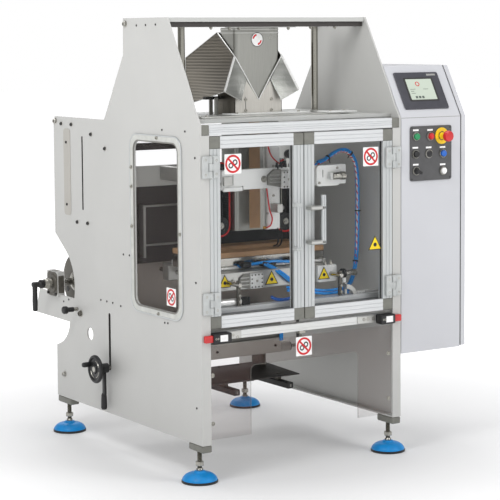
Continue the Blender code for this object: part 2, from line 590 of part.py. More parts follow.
def make_adjuster():
    """The web roller on its sliding shaft, its handwheel and its clamp lever."""
    centre = (0, ADJUST_Y, ADJUST_Z)
    shaft = turned([(-0.0495, 0.0060), (0.045, 0.0060), (0.045, 0.018), (0.755, 0.018), (0.755, 0.0060),
                    (0.806, 0.0060)], "x", centre, 24)
    piece("adjuster_shaft", shaft, "stainless", origin=(0, ADJUST_Y, ADJUST_Z))
    rim = bmesh.new()
    rows, columns, rim_r, thick = 24, 8, 0.0430, 0.0075
    grid = []
    for i in range(rows):
        a = 2 * math.pi * i / rows
        ring = []
        for j in range(columns):
            b = 2 * math.pi * j / columns
            reach = rim_r + thick * math.cos(b)
            ring.append(rim.verts.new((-0.058 + thick * math.sin(b), ADJUST_Y + reach * math.cos(a),
                                       ADJUST_Z + reach * math.sin(a))))
        grid.append(ring)
    for i in range(rows):
        for j in range(columns):
            a, b = (i + 1) % rows, (j + 1) % columns
            rim.faces.new((grid[i][j], grid[a][j], grid[a][b], grid[i][b]))
    bmesh.ops.recalc_face_normals(rim, faces=rim.faces)
    disc = turned([(-0.066, 0.008), (-0.066, 0.016), (-0.061, 0.018), (-0.060, 0.043), (-0.056, 0.043),
                   (-0.055, 0.018), (-0.0498, 0.016)], "x", centre, 24)
    grip = turned([(-0.091, 0.005), (-0.088, 0.0085), (-0.070, 0.0095), (-0.056, 0.008)], "x",
                  (0, ADJUST_Y + 0.036, ADJUST_Z + 0.012), 20)
    piece("adjuster_handwheel", join(disc, rim, grip), "black_plastic", origin=(-0.050, ADJUST_Y, ADJUST_Z))
    hub = cut(rod("x", centre, -0.034, -0.010, 0.017, 28), rod("x", centre, -0.1, 0.1, 0.0065, 24))
    arm = box((-0.029, -0.019), (ADJUST_Y - 0.009, ADJUST_Y + 0.009), (ADJUST_Z - 0.095, ADJUST_Z - 0.014))
    handle = rod("z", (-0.024, ADJUST_Y + 0.004, ADJUST_Z), -0.147, -0.088, 0.0110, 20)
    piece("adjuster_clamp_lever", join(hub, arm, handle), "black_plastic", origin=(0, ADJUST_Y, ADJUST_Z))
    knob = turned([(-0.0005, 0.007), (-0.016, 0.007), (-0.018, 0.009), (-0.040, 0.009), (-0.044, 0.014),
                   (-0.058, 0.014), (-0.062, 0.009)], "x", (0, 0.852, 0.466), 24)
    piece("index_plunger", knob, "black_plastic", origin=(0, 0.852, 0.466))


# ---- hose bundle ---------------------------------------------------------------------------
HOSE_POINTS = [
    (0.560, 0.150, 1.006), (0.590, 0.152, 1.014), (0.630, 0.156, 1.034), (0.668, 0.162, 1.045),
    (0.706, 0.170, 1.036), (0.738, 0.178, 1.000), (0.752, 0.184, 0.945), (0.756, 0.186, 0.880),
    (0.755, 0.186, 0.815), (0.752, 0.184, 0.750), (0.744, 0.178, 0.690), (0.728, 0.168, 0.632),
    (0.704, 0.156, 0.590), (0.672, 0.142, 0.566),
]
HOSE_R = 0.0075


def curve_points(points, per_span):
    """Points along a Catmull-Rom curve through the given ones."""
    path = [Vector(p) for p in points]
    ends = [2 * path[0] - path[1], *path, 2 * path[-1] - path[-2]]
    result = []
    for i in range(len(path) - 1):
        a, b, c, d = ends[i:i + 4]
        for k in range(per_span):
            t = k / per_span
            result.append(0.5 * (2 * b + (c - a) * t + (2 * a - 5 * b + 4 * c - d) * t * t
                                 + (3 * b - a - 3 * c + d) * t ** 3))
    return [*result, path[-1]]


def make_hoses():
    """The bundle of air hoses from the cross beam round to the jaws."""
    shift = Vector((ORIGIN_X, ORIGIN_Y, 0))
    curve = bpy.data.curves.new("hose_bundle", "CURVE")
    curve.dimensions, curve.bevel_depth, curve.bevel_resolution = "3D", HOSE_R, 2
    curve.use_fill_caps = True
    points = curve_points(HOSE_POINTS, 2)
    spline = curve.splines.new("POLY")
    spline.points.add(len(points) - 1)
    for target, point in zip(spline.points, points):
        target.co = (*(point - shift), 1.0)
    curve.materials.append(finish("hose_blue"))
    bpy.context.collection.objects.link(bpy.data.objects.new("hose_bundle", curve))


def main():
    for thing in list(bpy.data.objects):
        bpy.data.objects.remove(thing)
    make_frame()
    make_feet()
    make_door("left", LEFT_DOOR_X, 0.0345, (0.347, 0.372))
    make_door("right", RIGHT_DOOR_X, WIDTH - 0.0345, (0.450, 0.466))
    make_safety_switches()
    make_cabinet()
    make_controls()
    make_forming_set()
    make_film_drive()
    make_sealing()
    make_discharge()
    make_reel()
    make_dancer()
    make_adjuster()
    make_hoses()


main()
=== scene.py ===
"""Looks of a vertical form fill sealer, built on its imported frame.

Sizes are in metres in the machine's own frame: X from the outer face of the left side plate to
the right, Y from the front plane to the rear, Z up from the floor. Datum carries that frame onto
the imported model's.
"""
import logging
import math
from abc import ABC, abstractmethod
from dataclasses import dataclass, field
from enum import Enum
from typing import Iterable, Optional, Sequence

import bmesh
import bpy
import numpy as np
from mathutils import Matrix, Vector


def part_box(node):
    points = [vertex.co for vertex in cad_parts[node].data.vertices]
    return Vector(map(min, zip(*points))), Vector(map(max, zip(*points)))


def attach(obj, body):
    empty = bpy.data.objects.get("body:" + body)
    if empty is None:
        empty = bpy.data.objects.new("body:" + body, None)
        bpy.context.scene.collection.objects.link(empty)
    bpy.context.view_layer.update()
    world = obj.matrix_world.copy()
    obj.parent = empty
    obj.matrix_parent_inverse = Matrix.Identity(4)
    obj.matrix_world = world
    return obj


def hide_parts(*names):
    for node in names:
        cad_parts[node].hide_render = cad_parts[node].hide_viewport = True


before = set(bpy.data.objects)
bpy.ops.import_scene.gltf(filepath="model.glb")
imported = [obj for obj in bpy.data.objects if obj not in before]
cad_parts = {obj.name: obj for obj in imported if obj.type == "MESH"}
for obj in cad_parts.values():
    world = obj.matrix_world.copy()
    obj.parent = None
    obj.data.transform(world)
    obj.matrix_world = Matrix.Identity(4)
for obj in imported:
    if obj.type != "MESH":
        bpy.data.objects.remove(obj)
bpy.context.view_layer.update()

log = logging.getLogger("sealer")
Array = np.ndarray
Triple = tuple[float, float, float]
Pair = tuple[float, float]


# ---- the machine's frame ----------------------------------------------------------------------
@dataclass(frozen=True)
class Datum:
    """The shift from the machine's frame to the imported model's."""

    shift: Triple

    @classmethod
    def from_plate(cls) -> "Datum":
        """Reads the shift from the left side plate, whose bearing block stands 10 mm proud.

        Returns:
            The datum.
        """
        low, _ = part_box("left_side_plate")
        return cls((low.x + 0.01, low.y, 0.0))

    def place(self, points: Array) -> Array:
        """Carries machine-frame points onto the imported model's frame."""
        return points + np.array(self.shift)


DATUM = Datum.from_plate()
BETWEEN_PLATES: Pair = (0.0066, 0.7934)
PANE_FRONT = 0.0118


class Axis(Enum):
    """A direction of the machine frame, with the columns that (across, up, along) fill."""

    X = (1, 2, 0)
    Y = (0, 2, 1)
    Z = (0, 1, 2)


# ---- surfaces ---------------------------------------------------------------------------------
@dataclass
class Shape:
    """A mesh in the machine frame."""

    points: Array
    faces: list[tuple[int, ...]]

    def __add__(self, other: "Shape") -> "Shape":
        """Both meshes as one, without welding them."""
        first = len(self.points)
        more = [tuple(i + first for i in face) for face in other.faces]
        return Shape(np.vstack([self.points, other.points]), self.faces + more)

    def moved(self, x: float = 0.0, y: float = 0.0, z: float = 0.0) -> "Shape":
        """The mesh shifted along the three axes."""
        return Shape(self.points + np.array([x, y, z]), self.faces)

    def spun(self, axis: Axis, degrees: float, centre: Triple) -> "Shape":
        """The mesh turned about an axis through centre.

        Args:
            axis: the direction to turn about.
            degrees: the turn, by the right-hand rule.
            centre: a point on the axis.

        Returns:
            The turned mesh.
        """
        matrix = np.array(Matrix.Rotation(math.radians(degrees), 3, axis.name))
        pivot = np.array(centre)
        return Shape((self.points - pivot) @ matrix.T + pivot, self.faces)


def many(shapes: Iterable[Shape]) -> Shape:
    """One mesh from several."""
    total: Optional[Shape] = None
    for shape in shapes:
        total = shape if total is None else total + shape
    assert total is not None
    return total


def skin(grid: Array, wrap_rows: bool = False, wrap_columns: bool = False, caps: bool = False) -> Shape:
    """A surface over a grid of points: each cell of the grid is one four-sided face.

    Args:
        grid: rows x columns x 3 points.
        wrap_rows: joins the last row to the first.
        wrap_columns: joins the last column to the first.
        caps: closes the first and last rows with a flat face each.

    Returns:
        The surface.
    """
    rows, columns = grid.shape[:2]
    index = np.arange(rows * columns).reshape(rows, columns)
    if wrap_rows:
        index = np.vstack([index, index[:1]])
    if wrap_columns:
        index = np.hstack([index, index[:, :1]])
    cells = np.stack([index[:-1, :-1], index[:-1, 1:], index[1:, 1:], index[1:, :-1]], axis=-1)
    faces = [tuple(cell) for cell in cells.reshape(-1, 4).tolist()]
    if caps:
        faces.append(tuple(reversed(index[0, :columns].tolist())))
        faces.append(tuple(index[-1, :columns].tolist()))
    return Shape(grid.reshape(-1, 3), faces)


def lay(across: Array, up: Array, along: Array, axis: Axis) -> Array:
    """Stacks three coordinate arrays in the order that the axis asks for."""
    result = np.zeros((*np.broadcast(across, up, along).shape, 3))
    for column, values in zip(axis.value, (across, up, along)):
        result[..., column] = values
    return result


def stacked(stations: Iterable[tuple[Array, float]], axis: Axis) -> Array:
    """A grid of points: each row is a flat outline set at its own distance along the axis."""
    return np.stack([lay(line[:, 0], line[:, 1], np.full(len(line), at), axis) for line, at in stations])


def about(middle: float, half: float) -> Pair:
    """The limits half below and half above a middle value."""
    return (middle - half, middle + half)


def rounded(across: Pair, up: Pair, radius: float, steps: int = 3) -> Array:
    """A rectangle with quarter-circle corners: corner centre plus radius times (cos t, sin t).

    Args:
        across: lowest and highest first coordinate.
        up: lowest and highest second coordinate.
        radius: corner radius.
        steps: flats in each corner.

    Returns:
        The outline as an n x 2 array, anticlockwise.
    """
    starts = np.radians([0.0, 90.0, 180.0, 270.0])
    turn = (starts[:, None] + np.linspace(0, math.pi / 2, steps + 1)[None, :]).ravel()
    right = np.repeat([1.0, 0.0, 0.0, 1.0], steps + 1)
    top = np.repeat([1.0, 1.0, 0.0, 0.0], steps + 1)
    a = across[0] + radius + right * (across[1] - across[0] - 2 * radius) + radius * np.cos(turn)
    b = up[0] + radius + top * (up[1] - up[0] - 2 * radius) + radius * np.sin(turn)
    return np.stack([a, b], axis=-1)


def circle(across: float, up: float, radius: float, steps: int = 16) -> Array:
    """A circle's outline: centre plus radius times (cos t, sin t)."""
    turn = np.linspace(0, 2 * math.pi, steps, endpoint=False)
    return np.stack([across + radius * np.cos(turn), up + radius * np.sin(turn)], axis=-1)


def drawn_in(outline: Array, inset: float) -> Array:
    """A closed outline drawn in by inset: each corner moves along its mitre.

    The mitre is the sum of the two neighbouring edges' inward normals over one plus their product.
    """
    edge = np.roll(outline, -1, axis=0) - outline
    edge = edge / np.maximum(np.linalg.norm(edge, axis=1, keepdims=True), 1e-9)
    area = np.sum(outline[:, 0] * np.roll(outline[:, 1], -1) - np.roll(outline[:, 0], -1) * outline[:, 1])
    normal = np.stack([-edge[:, 1], edge[:, 0]], axis=-1) * np.sign(area)
    before = np.roll(normal, 1, axis=0)
    share = np.maximum(1.0 + np.sum(normal * before, axis=1, keepdims=True), 0.3)
    return outline + inset * (normal + before) / share


def pushed(outline: Array, axis: Axis, low: float, high: float, edge: float = 0.0) -> Shape:
    """An outline carried along an axis, with its two rims chamfered by edge.

    The grid's rows are the outline at four stations: drawn in at each end, full between.
    """
    if edge <= 0:
        stations = [(outline, low), (outline, high)]
    else:
        small = drawn_in(outline, edge)
        stations = [(small, low), (outline, low + edge), (outline, high - edge), (small, high)]
    return skin(stacked(stations, axis), wrap_columns=True, caps=True)


def block(x: Pair, y: Pair, z: Pair, edge: float = 0.001, steps: int = 1) -> Shape:
    """A block between the limits x, y and z with all its edges eased."""
    return pushed(rounded(x, y, max(edge, 1e-5), steps), Axis.Z, z[0], z[1], edge)


def slab(outline: Array, hole: Array, axis: Axis, low: float, high: float, edge: float = 0.0) -> Shape:
    """A flat ring between two outlines of the same count: straight lines join each pair of points.

    Args:
        outline: the outer edge.
        hole: the inner edge, point for point.
        axis: the ring's thickness runs along this.
        low: one face.
        high: the other face.
        edge: chamfer on the four rims.

    Returns:
        The closed ring.
    """
    outer, inner = (drawn_in(outline, edge), drawn_in(hole, -edge)) if edge > 0 else (outline, hole)
    loop = [(outer, low), (outline, low + edge), (outline, high - edge), (outer, high),
            (inner, high), (hole, high - edge), (hole, low + edge), (inner, low)]
    if edge <= 0:
        loop = [(outline, low), (outline, high), (hole, high), (hole, low)]
    return skin(stacked(loop, axis), wrap_rows=True, wrap_columns=True)


def lathed(profile: Sequence[Pair], axis: Axis, centre: Triple, steps: int = 24) -> Shape:
    """A profile turned about an axis: (radius cos t, radius sin t, distance along).

    Args:
        profile: (distance along, radius) from one end to the other.
        axis: the direction to turn about.
        centre: the point that the distances start from.
        steps: flats round the axis.

    Returns:
        The turned body, closed at both ends.
    """
    line = np.array(profile, float)
    turn = np.linspace(0, 2 * math.pi, steps, endpoint=False)
    radius = np.maximum(line[:, 1:2], 1e-5)
    grid = lay(radius * np.cos(turn), radius * np.sin(turn), np.broadcast_to(line[:, :1], (len(line), steps)),
               axis)
    return skin(grid + np.array(centre), wrap_columns=True, caps=True)


def hoop(radius: float, thick: float, axis: Axis, centre: Triple, steps: int = 24, sides: int = 8,
         arc: float = 360.0, start: float = 0.0) -> Shape:
    """A round bar bent to a circle: distance from the axis is radius + thick cos s, height thick sin s."""
    whole = arc >= 360.0
    turn = np.radians(start) + np.linspace(0, math.radians(arc), steps + (0 if whole else 1),
                                           endpoint=not whole)
    side = np.linspace(0, 2 * math.pi, sides, endpoint=False)
    reach = radius + thick * np.cos(side)[None, :]
    grid = lay(reach * np.cos(turn)[:, None], reach * np.sin(turn)[:, None],
               np.broadcast_to(thick * np.sin(side)[None, :], (len(turn), sides)), axis)
    return skin(grid + np.array(centre), wrap_rows=whole, wrap_columns=True, caps=not whole)


def eased(points: Sequence[Triple], per_span: int = 6) -> Array:
    """A smooth path through points: the Catmull-Rom cubic between each neighbouring pair.

    Each span is half of (2b + (c - a)t + (2a - 5b + 4c - d)t^2 + (3b - a - 3c + d)t^3).
    """
    p = np.array(points, float)
    p = np.vstack([2 * p[0] - p[1], p, 2 * p[-1] - p[-2]])
    t = (np.arange(per_span) / per_span)[None, :, None]
    a, b, c, d = (p[i:len(p) - 3 + i, None, :] for i in range(4))
    spans = 0.5 * (2 * b + (c - a) * t + (2 * a - 5 * b + 4 * c - d) * t ** 2
                   + (3 * b - a - 3 * c + d) * t ** 3)
    return np.vstack([spans.reshape(-1, 3), p[-2:-1]])


def path_frames(path: Array) -> tuple[Array, Array]:
    """Two unit directions across a path at each point, from one reference that the path never follows."""
    along = np.gradient(path, axis=0)
    along = along / np.maximum(np.linalg.norm(along, axis=1, keepdims=True), 1e-9)
    spread = np.abs(along).max(axis=0)
    reference = np.zeros(3)
    reference[int(np.argmin(spread))] = 1.0
    side = np.cross(along, reference)
    side = side / np.maximum(np.linalg.norm(side, axis=1, keepdims=True), 1e-9)
    return side, np.cross(side, along)


def polyline(corners: Array, count: int) -> Array:
    """Evenly shared points along a path with corners: linear between each neighbouring pair."""
    stops, at = np.linspace(0, len(corners) - 1, count), np.arange(len(corners))
    return np.stack([np.interp(stops, at, corners[:, i]) for i in range(3)], axis=-1)


def arc_band(centre: Pair, radii: Pair, first: float, last: float, steps: int = 10) -> Array:
    """The outline of a curved band: an arc at the outer radius, and back along the inner one.

    Args:
        centre: the arcs' centre.
        radii: outer and inner radius.
        first: where the arcs start, in degrees.
        last: where they end.
        steps: points on each arc.

    Returns:
        The outline.
    """
    turn = np.radians(np.linspace(first, last, steps))
    return np.concatenate([np.stack([centre[0] + r * np.cos(turn), centre[1] + r * np.sin(turn)],
                                    axis=-1)[::s] for r, s in zip(radii, (1, -1))])


def hose(path: Array, radius: float, sides: int = 8) -> Shape:
    """A round tube along a path: path + radius (side cos s + up sin s), with closed ends."""
    side, up = path_frames(path)
    s = np.linspace(0, 2 * math.pi, sides, endpoint=False)[None, :, None]
    grid = path[:, None, :] + radius * (side[:, None, :] * np.cos(s) + up[:, None, :] * np.sin(s))
    return skin(grid, wrap_columns=True, caps=True)


def beside(path: Array, reach: float, turns: float, start: float = 0.0) -> Array:
    """A path wound round another at a set reach, through a number of turns, starting at start degrees."""
    side, up = path_frames(path)
    t = (np.radians(start) + np.linspace(0, 2 * math.pi * turns, len(path)))[:, None]
    return path + reach * (side * np.cos(t) + up * np.sin(t))


def bent_sheet(corners: Array, thick: float, rows: int = 2, columns: int = 2, crown: float = 0.0) -> Shape:
    """A sheet over four corners with a real thickness.

    A point is the bilinear mix of the corners, plus crown times 16 u(1-u) v(1-v) along the normal,
    and the back is the front moved against the normal by the thickness.
    """
    u = np.linspace(0, 1, columns)[None, :, None]
    v = np.linspace(0, 1, rows)[:, None, None]
    a, b, c, d = (np.array(p, float) for p in corners)
    face = (1 - v) * ((1 - u) * a + u * b) + v * ((1 - u) * d + u * c)
    normal = np.cross(c - a, d - b)
    normal = normal / np.linalg.norm(normal)
    face = face + crown * 16 * u * (1 - u) * v * (1 - v) * normal
    back = face - thick * normal
    front_shape, back_shape = skin(face), skin(back[:, ::-1])
    index = np.arange(rows * columns).reshape(rows, columns)
    rim = np.concatenate([index[0], index[1:, -1], index[-1, -2::-1], index[-2:0:-1, 0]])
    other = rows * columns + index[:, ::-1]
    rim_back = np.concatenate([other[0], other[1:, -1], other[-1, -2::-1], other[-2:0:-1, 0]])
    walls = [(int(p), int(q), int(s), int(r)) for p, q, r, s in
             zip(rim, np.roll(rim, -1), rim_back, np.roll(rim_back, -1))]
    whole = front_shape + back_shape
    return Shape(whole.points, whole.faces + walls)


def flat_plate(corners: Sequence[Triple], thick: float) -> Shape:
    """A flat many-sided sheet: its corners, and the same corners moved against its normal."""
    points = np.array(corners, float)
    centre = points.mean(axis=0)
    normal = np.sum(np.cross(points - centre, np.roll(points, -1, axis=0) - centre), axis=0)
    normal = normal / np.linalg.norm(normal)
    return skin(np.stack([points, points - thick * normal]), wrap_columns=True, caps=True)


# ---- common fixings ---------------------------------------------------------------------------
def socket_head(axis: Axis, centre: Triple, radius: float, height: float, sign: int = -1) -> Shape:
    """A cap screw's head with its socket, standing out from centre along sign times the axis."""
    r, h = radius, sign * height
    profile = [(0, r), (0.8 * h, r), (h, 0.88 * r), (h, 0.56 * r), (0.45 * h, 0.5 * r)]
    return lathed(profile, axis, centre, 12)


def hex_nut(axis: Axis, centre: Triple, radius: float, height: float, sign: int = -1) -> Shape:
    """A six-sided nut with eased corners and a stub of its bolt."""
    h = sign * height
    nut = lathed([(0, radius), (0.85 * h, radius), (h, 0.86 * radius)], axis, centre, 6)
    return nut + lathed([(h * 0.9, 0.5 * radius), (1.5 * h, 0.5 * radius), (1.6 * h, 0.42 * radius)], axis,
                        centre, 10)


def washer(axis: Axis, centre: Triple, radius: float, height: float = 0.0012, sign: int = -1) -> Shape:
    """A flat washer as a shallow turned disc."""
    return lathed([(0, radius), (sign * height * 0.7, radius), (sign * height, radius * 0.93)], axis, centre,
                  20)


# ---- finishes ---------------------------------------------------------------------------------
def tone(red: int, green: int, blue: int) -> Triple:
    """A display colour from 0 to 255 as linear light."""
    display = np.array([red, green, blue]) / 255.0
    linear = np.where(display <= 0.04045, display / 12.92, ((display + 0.055) / 1.055) ** 2.4)
    return (float(linear[0]), float(linear[1]), float(linear[2]))


class ShaderSheet:
    """A material's node tree with short names for the few nodes that every finish uses."""

    def __init__(self, name: str, colour: Triple, roughness: float, metallic: float) -> None:
        """Starts the material with its even values set on the shader itself."""
        self.material = bpy.data.materials.new(name)
        self.material.use_nodes = True
        self.tree = self.material.node_tree
        self.shader = self.tree.nodes["Principled BSDF"]
        self.shader.inputs["Base Color"].default_value = (*colour, 1.0)
        self.shader.inputs["Roughness"].default_value = roughness
        self.shader.inputs["Metallic"].default_value = metallic
        self.place = self.tree.nodes.new("ShaderNodeTexCoord").outputs["Object"]

    def stretched(self, scale: Triple) -> bpy.types.NodeSocket:
        """The object's own coordinates, scaled along each axis."""
        node = self.tree.nodes.new("ShaderNodeMapping")
        node.inputs["Scale"].default_value = scale
        self.tree.links.new(self.place, node.inputs["Vector"])
        return node.outputs["Vector"]

    def noise(self, scale: float, detail: float = 2.0, stretch: Triple = (1.0, 1.0,
                                                                          1.0)) -> bpy.types.NodeSocket:
        """A noise field from 0 to 1 at a scale in cycles a metre."""
        node = self.tree.nodes.new("ShaderNodeTexNoise")
        node.inputs["Scale"].default_value = scale
        node.inputs["Detail"].default_value = detail
        self.tree.links.new(self.stretched(stretch), node.inputs["Vector"])
        return node.outputs["Fac"]

    def spread(self, value: bpy.types.NodeSocket, low: float, high: float) -> bpy.types.NodeSocket:
        """Maps the middle of a field, 0.3 to 0.7, onto low to high."""
        node = self.tree.nodes.new("ShaderNodeMapRange")
        for key, number in (("From Min", 0.3), ("From Max", 0.7), ("To Min", low), ("To Max", high)):
            node.inputs[key].default_value = number
        self.tree.links.new(value, node.inputs["Value"])
        return node.outputs["Result"]

    def tint(self, value: bpy.types.NodeSocket, first: Triple, second: Triple) -> None:
        """Colours the base from first to second by a field."""
        node = self.tree.nodes.new("ShaderNodeMix")
        node.data_type = "RGBA"
        node.inputs["A"].default_value = (*first, 1.0)
        node.inputs["B"].default_value = (*second, 1.0)
        self.tree.links.new(value, node.inputs["Factor"])
        self.tree.links.new(node.outputs["Result"], self.shader.inputs["Base Color"])

    def roughen(self, value: bpy.types.NodeSocket) -> None:
        """Drives roughness by a field."""
        self.tree.links.new(value, self.shader.inputs["Roughness"])

    def relief(self, value: bpy.types.NodeSocket, strength: float, depth: float) -> None:
        """Raises a field as bump of the given depth in metres."""
        node = self.tree.nodes.new("ShaderNodeBump")
        node.inputs["Strength"].default_value = strength
        node.inputs["Distance"].default_value = depth
        self.tree.links.new(value, node.inputs["Height"])
        self.tree.links.new(node.outputs["Normal"], self.shader.inputs["Normal"])


def shaded(colour: Triple, factor: float) -> Triple:
    """A colour made lighter or darker by a factor, kept within 0 to 1."""
    return (min(colour[0] * factor, 1.0), min(colour[1] * factor, 1.0), min(colour[2] * factor, 1.0))


@dataclass(frozen=True)
class Finish(ABC):
    """What a surface is made of. The material is made once and kept under the finish's name."""

    name: str
    colour: Triple

    @abstractmethod
    def build(self) -> bpy.types.Material:
        """Makes the material."""

    def material(self) -> bpy.types.Material:
        """The material, made the first time it is asked for."""
        return bpy.data.materials.get(self.name) or self.build()


@dataclass(frozen=True)
class PowderCoat(Finish):
    """Baked powder paint on sheet: fine orange peel, slight clouding and handling marks."""

    roughness: float = 0.42
    peel: float = 0.1

    def build(self) -> bpy.types.Material:
        """Peel is a fine noise bump; clouding mixes two close tints over a slow noise."""
        sheet = ShaderSheet(self.name, self.colour, self.roughness, 0.0)
        cloud = sheet.noise(3.0, 4.0)
        sheet.tint(sheet.spread(cloud, 0.0, 1.0), shaded(self.colour, 0.965), shaded(self.colour, 1.02))
        sheet.roughen(sheet.spread(sheet.noise(11.0, 3.0), self.roughness - 0.05, self.roughness + 0.07))
        sheet.relief(sheet.noise(900.0, 1.0), self.peel, 0.0004)
        sheet.shader.inputs["Specular IOR Level"].default_value = 0.45
        return sheet.material


@dataclass(frozen=True)
class DrawnMetal(Finish):
    """Metal with fine lines along one way: brushed sheet, drawn bar or anodised extrusion."""

    roughness: float = 0.3
    grain: Triple = (1.0, 1.0, 0.02)
    contrast: float = 0.08
    metallic: float = 1.0

    def build(self) -> bpy.types.Material:
        """The lines are a noise stretched along the grain; they vary the tint, gloss and height."""
        sheet = ShaderSheet(self.name, self.colour, self.roughness, self.metallic)
        lines = sheet.noise(700.0, 3.0, self.grain)
        sheet.tint(sheet.spread(lines, 0.0, 1.0), shaded(self.colour, 1.0 - self.contrast),
                   shaded(self.colour, 1.0 + self.contrast))
        sheet.roughen(sheet.spread(sheet.noise(9.0, 4.0), self.roughness - 0.06, self.roughness + 0.1))
        sheet.relief(lines, 0.12, 0.0002)
        return sheet.material


@dataclass(frozen=True)
class CastMetal(Finish):
    """A rough-cast or machined surface with small pits and blotches."""

    roughness: float = 0.5
    metallic: float = 0.8

    def build(self) -> bpy.types.Material:
        """Pits are a medium noise bump; blotches mix two tints over a slower one."""
        sheet = ShaderSheet(self.name, self.colour, self.roughness, self.metallic)
        blotch = sheet.noise(60.0, 5.0)
        sheet.tint(sheet.spread(blotch, 0.0, 1.0), shaded(self.colour, 0.75), shaded(self.colour, 1.2))
        sheet.roughen(sheet.spread(blotch, self.roughness - 0.12, self.roughness + 0.12))
        sheet.relief(sheet.noise(500.0, 3.0), 0.3, 0.0004)
        return sheet.material


@dataclass(frozen=True)
class Moulding(Finish):
    """Moulded plastic or rubber: fine spark grain and faint wear."""

    roughness: float = 0.4
    grain: float = 0.15
    coat: float = 0.0

    def build(self) -> bpy.types.Material:
        """Grain is a very fine noise bump; wear lightens the tint a little over a slow noise."""
        sheet = ShaderSheet(self.name, self.colour, self.roughness, 0.0)
        wear = sheet.noise(45.0, 4.0)
        sheet.tint(sheet.spread(wear, 0.0, 1.0), shaded(self.colour, 0.92), shaded(self.colour, 1.12))
        sheet.roughen(sheet.spread(wear, self.roughness - 0.05, self.roughness + 0.08))
        sheet.relief(sheet.noise(1600.0, 1.0), self.grain, 0.0003)
        sheet.shader.inputs["Coat Weight"].default_value = self.coat
        return sheet.material


@dataclass(frozen=True)
class DimpledSheet(Finish):
    """Stainless sheet rolled with a small raised pattern, so that film slides over it."""

    roughness: float = 0.28
    pitch: float = 240.0
    ribs: Triple = (1.0, 1.0, 1.0)
    depth: float = 0.0009

    def build(self) -> bpy.types.Material:
        """The pattern is a cell field: height falls with the distance to the nearest cell's centre."""
        sheet = ShaderSheet(self.name, self.colour, self.roughness, 1.0)
        cells = sheet.tree.nodes.new("ShaderNodeTexVoronoi")
        cells.inputs["Scale"].default_value = self.pitch
        sheet.tree.links.new(sheet.stretched(self.ribs), cells.inputs["Vector"])
        sheet.relief(cells.outputs["Distance"], 0.6, self.depth)
        streak = sheet.noise(30.0, 4.0, (0.3, 0.3, 2.0))
        sheet.tint(sheet.spread(streak, 0.0, 1.0), shaded(self.colour, 0.8), shaded(self.colour, 1.2))
        return sheet.material


@dataclass(frozen=True)
class RibbedSheet(Finish):
    """Dark steel sheet rolled in fine level ribs."""

    pitch: float = 60.0

    def build(self) -> bpy.types.Material:
        """The ribs are a sine of the height, broken a little by noise, as bump and as tint; the tint is
        painted shade in the troughs and a painted highlight on the crests.
        """
        sheet = ShaderSheet(self.name, self.colour, 0.34, 1.0)
        wave = sheet.tree.nodes.new("ShaderNodeTexWave")
        wave.wave_type, wave.bands_direction, wave.wave_profile = "BANDS", "Z", "SIN"
        wave.inputs["Scale"].default_value = self.pitch / 2.0
        wave.inputs["Distortion"].default_value = 0.6
        wave.inputs["Detail"].default_value = 2.0
        wave.inputs["Detail Scale"].default_value = 0.4
        sheet.tree.links.new(sheet.place, wave.inputs["Vector"])
        sheet.relief(wave.outputs["Fac"], 0.5, 0.0012)
        # Painted shade and highlight: the same wave darkens the troughs and lightens the crests.
        sheet.tint(wave.outputs["Fac"], shaded(self.colour, 0.78), shaded(self.colour, 1.12))
        sheet.shader.inputs["Roughness"].default_value = 0.34
        return sheet.material


@dataclass(frozen=True)
class ClearSheet(Finish):
    """Clear polycarbonate, seen through, with a little dust."""

    alpha: float = 0.1
    roughness: float = 0.06

    def build(self) -> bpy.types.Material:
        """Mostly see-through; a slow noise varies the gloss as wiping marks do."""
        sheet = ShaderSheet(self.name, self.colour, self.roughness, 0.0)
        sheet.shader.inputs["Alpha"].default_value = self.alpha
        sheet.roughen(sheet.spread(sheet.noise(14.0, 4.0), self.roughness, self.roughness + 0.08))
        return sheet.material


@dataclass(frozen=True)
class LitScreen(Finish):
    """A display behind its glass: an even, faint glow."""

    glow: float = 0.35

    def build(self) -> bpy.types.Material:
        """Emission in the screen's own colour, under a glossy face."""
        sheet = ShaderSheet(self.name, self.colour, 0.12, 0.0)
        sheet.shader.inputs["Emission Color"].default_value = (*self.colour, 1.0)
        sheet.shader.inputs["Emission Strength"].default_value = self.glow
        sheet.tint(sheet.spread(sheet.noise(6.0, 2.0), 0.0, 1.0), shaded(self.colour, 0.94), self.colour)
        return sheet.material


ALONG_X, ALONG_Y, ALONG_Z = (0.02, 1.0, 1.0), (1.0, 0.02, 1.0), (1.0, 1.0, 0.02)

PLATE = PowderCoat("plate_paint", tone(193, 193, 190))
CABINET = PowderCoat("cabinet_paint", tone(201, 202, 206), 0.38)
DECK = PowderCoat("deck_paint", tone(190, 191, 188), 0.4)
SEEN_PANEL = PowderCoat("seen_panel", tone(222, 222, 218), 0.45)
HOUSING = PowderCoat("housing_paint", tone(128, 127, 122), 0.5)
DARK_SHEET = PowderCoat("dark_sheet", tone(58, 54, 52), 0.5)
LOW_SHEET = PowderCoat("low_sheet", tone(160, 151, 144), 0.45)
GREY_PANEL = PowderCoat("grey_panel", tone(178, 175, 168), 0.45)
RAIL_X = DrawnMetal("rail_level", tone(212, 214, 215), 0.36, ALONG_X, 0.05, 0.35)
RAIL_Z = DrawnMetal("rail_upright", tone(192, 195, 195), 0.36, ALONG_Z, 0.05, 0.45)
# Painted shadow: a flat grey standing for the shade inside grooves that the mesh does not cut.
GROOVE_SHADE = Moulding("groove_shadow", tone(120, 123, 124), 0.5)
KNOT = Moulding("corner_block", tone(118, 118, 111), 0.5)
GASKET = Moulding("window_gasket", tone(196, 197, 192), 0.5)
WHITE_PLATE = DrawnMetal("white_plate", tone(224, 225, 223), 0.42, ALONG_X, 0.04, 0.15)
ALLOY = DrawnMetal("alloy", tone(190, 190, 186), 0.34, ALONG_X, 0.08, 0.8)
ALLOY_Y = DrawnMetal("alloy_deep", tone(186, 186, 182), 0.34, ALONG_Y, 0.08, 0.8)
SATIN_TUBE = DrawnMetal("satin_tube", tone(150, 150, 145), 0.32, ALONG_Z, 0.07)
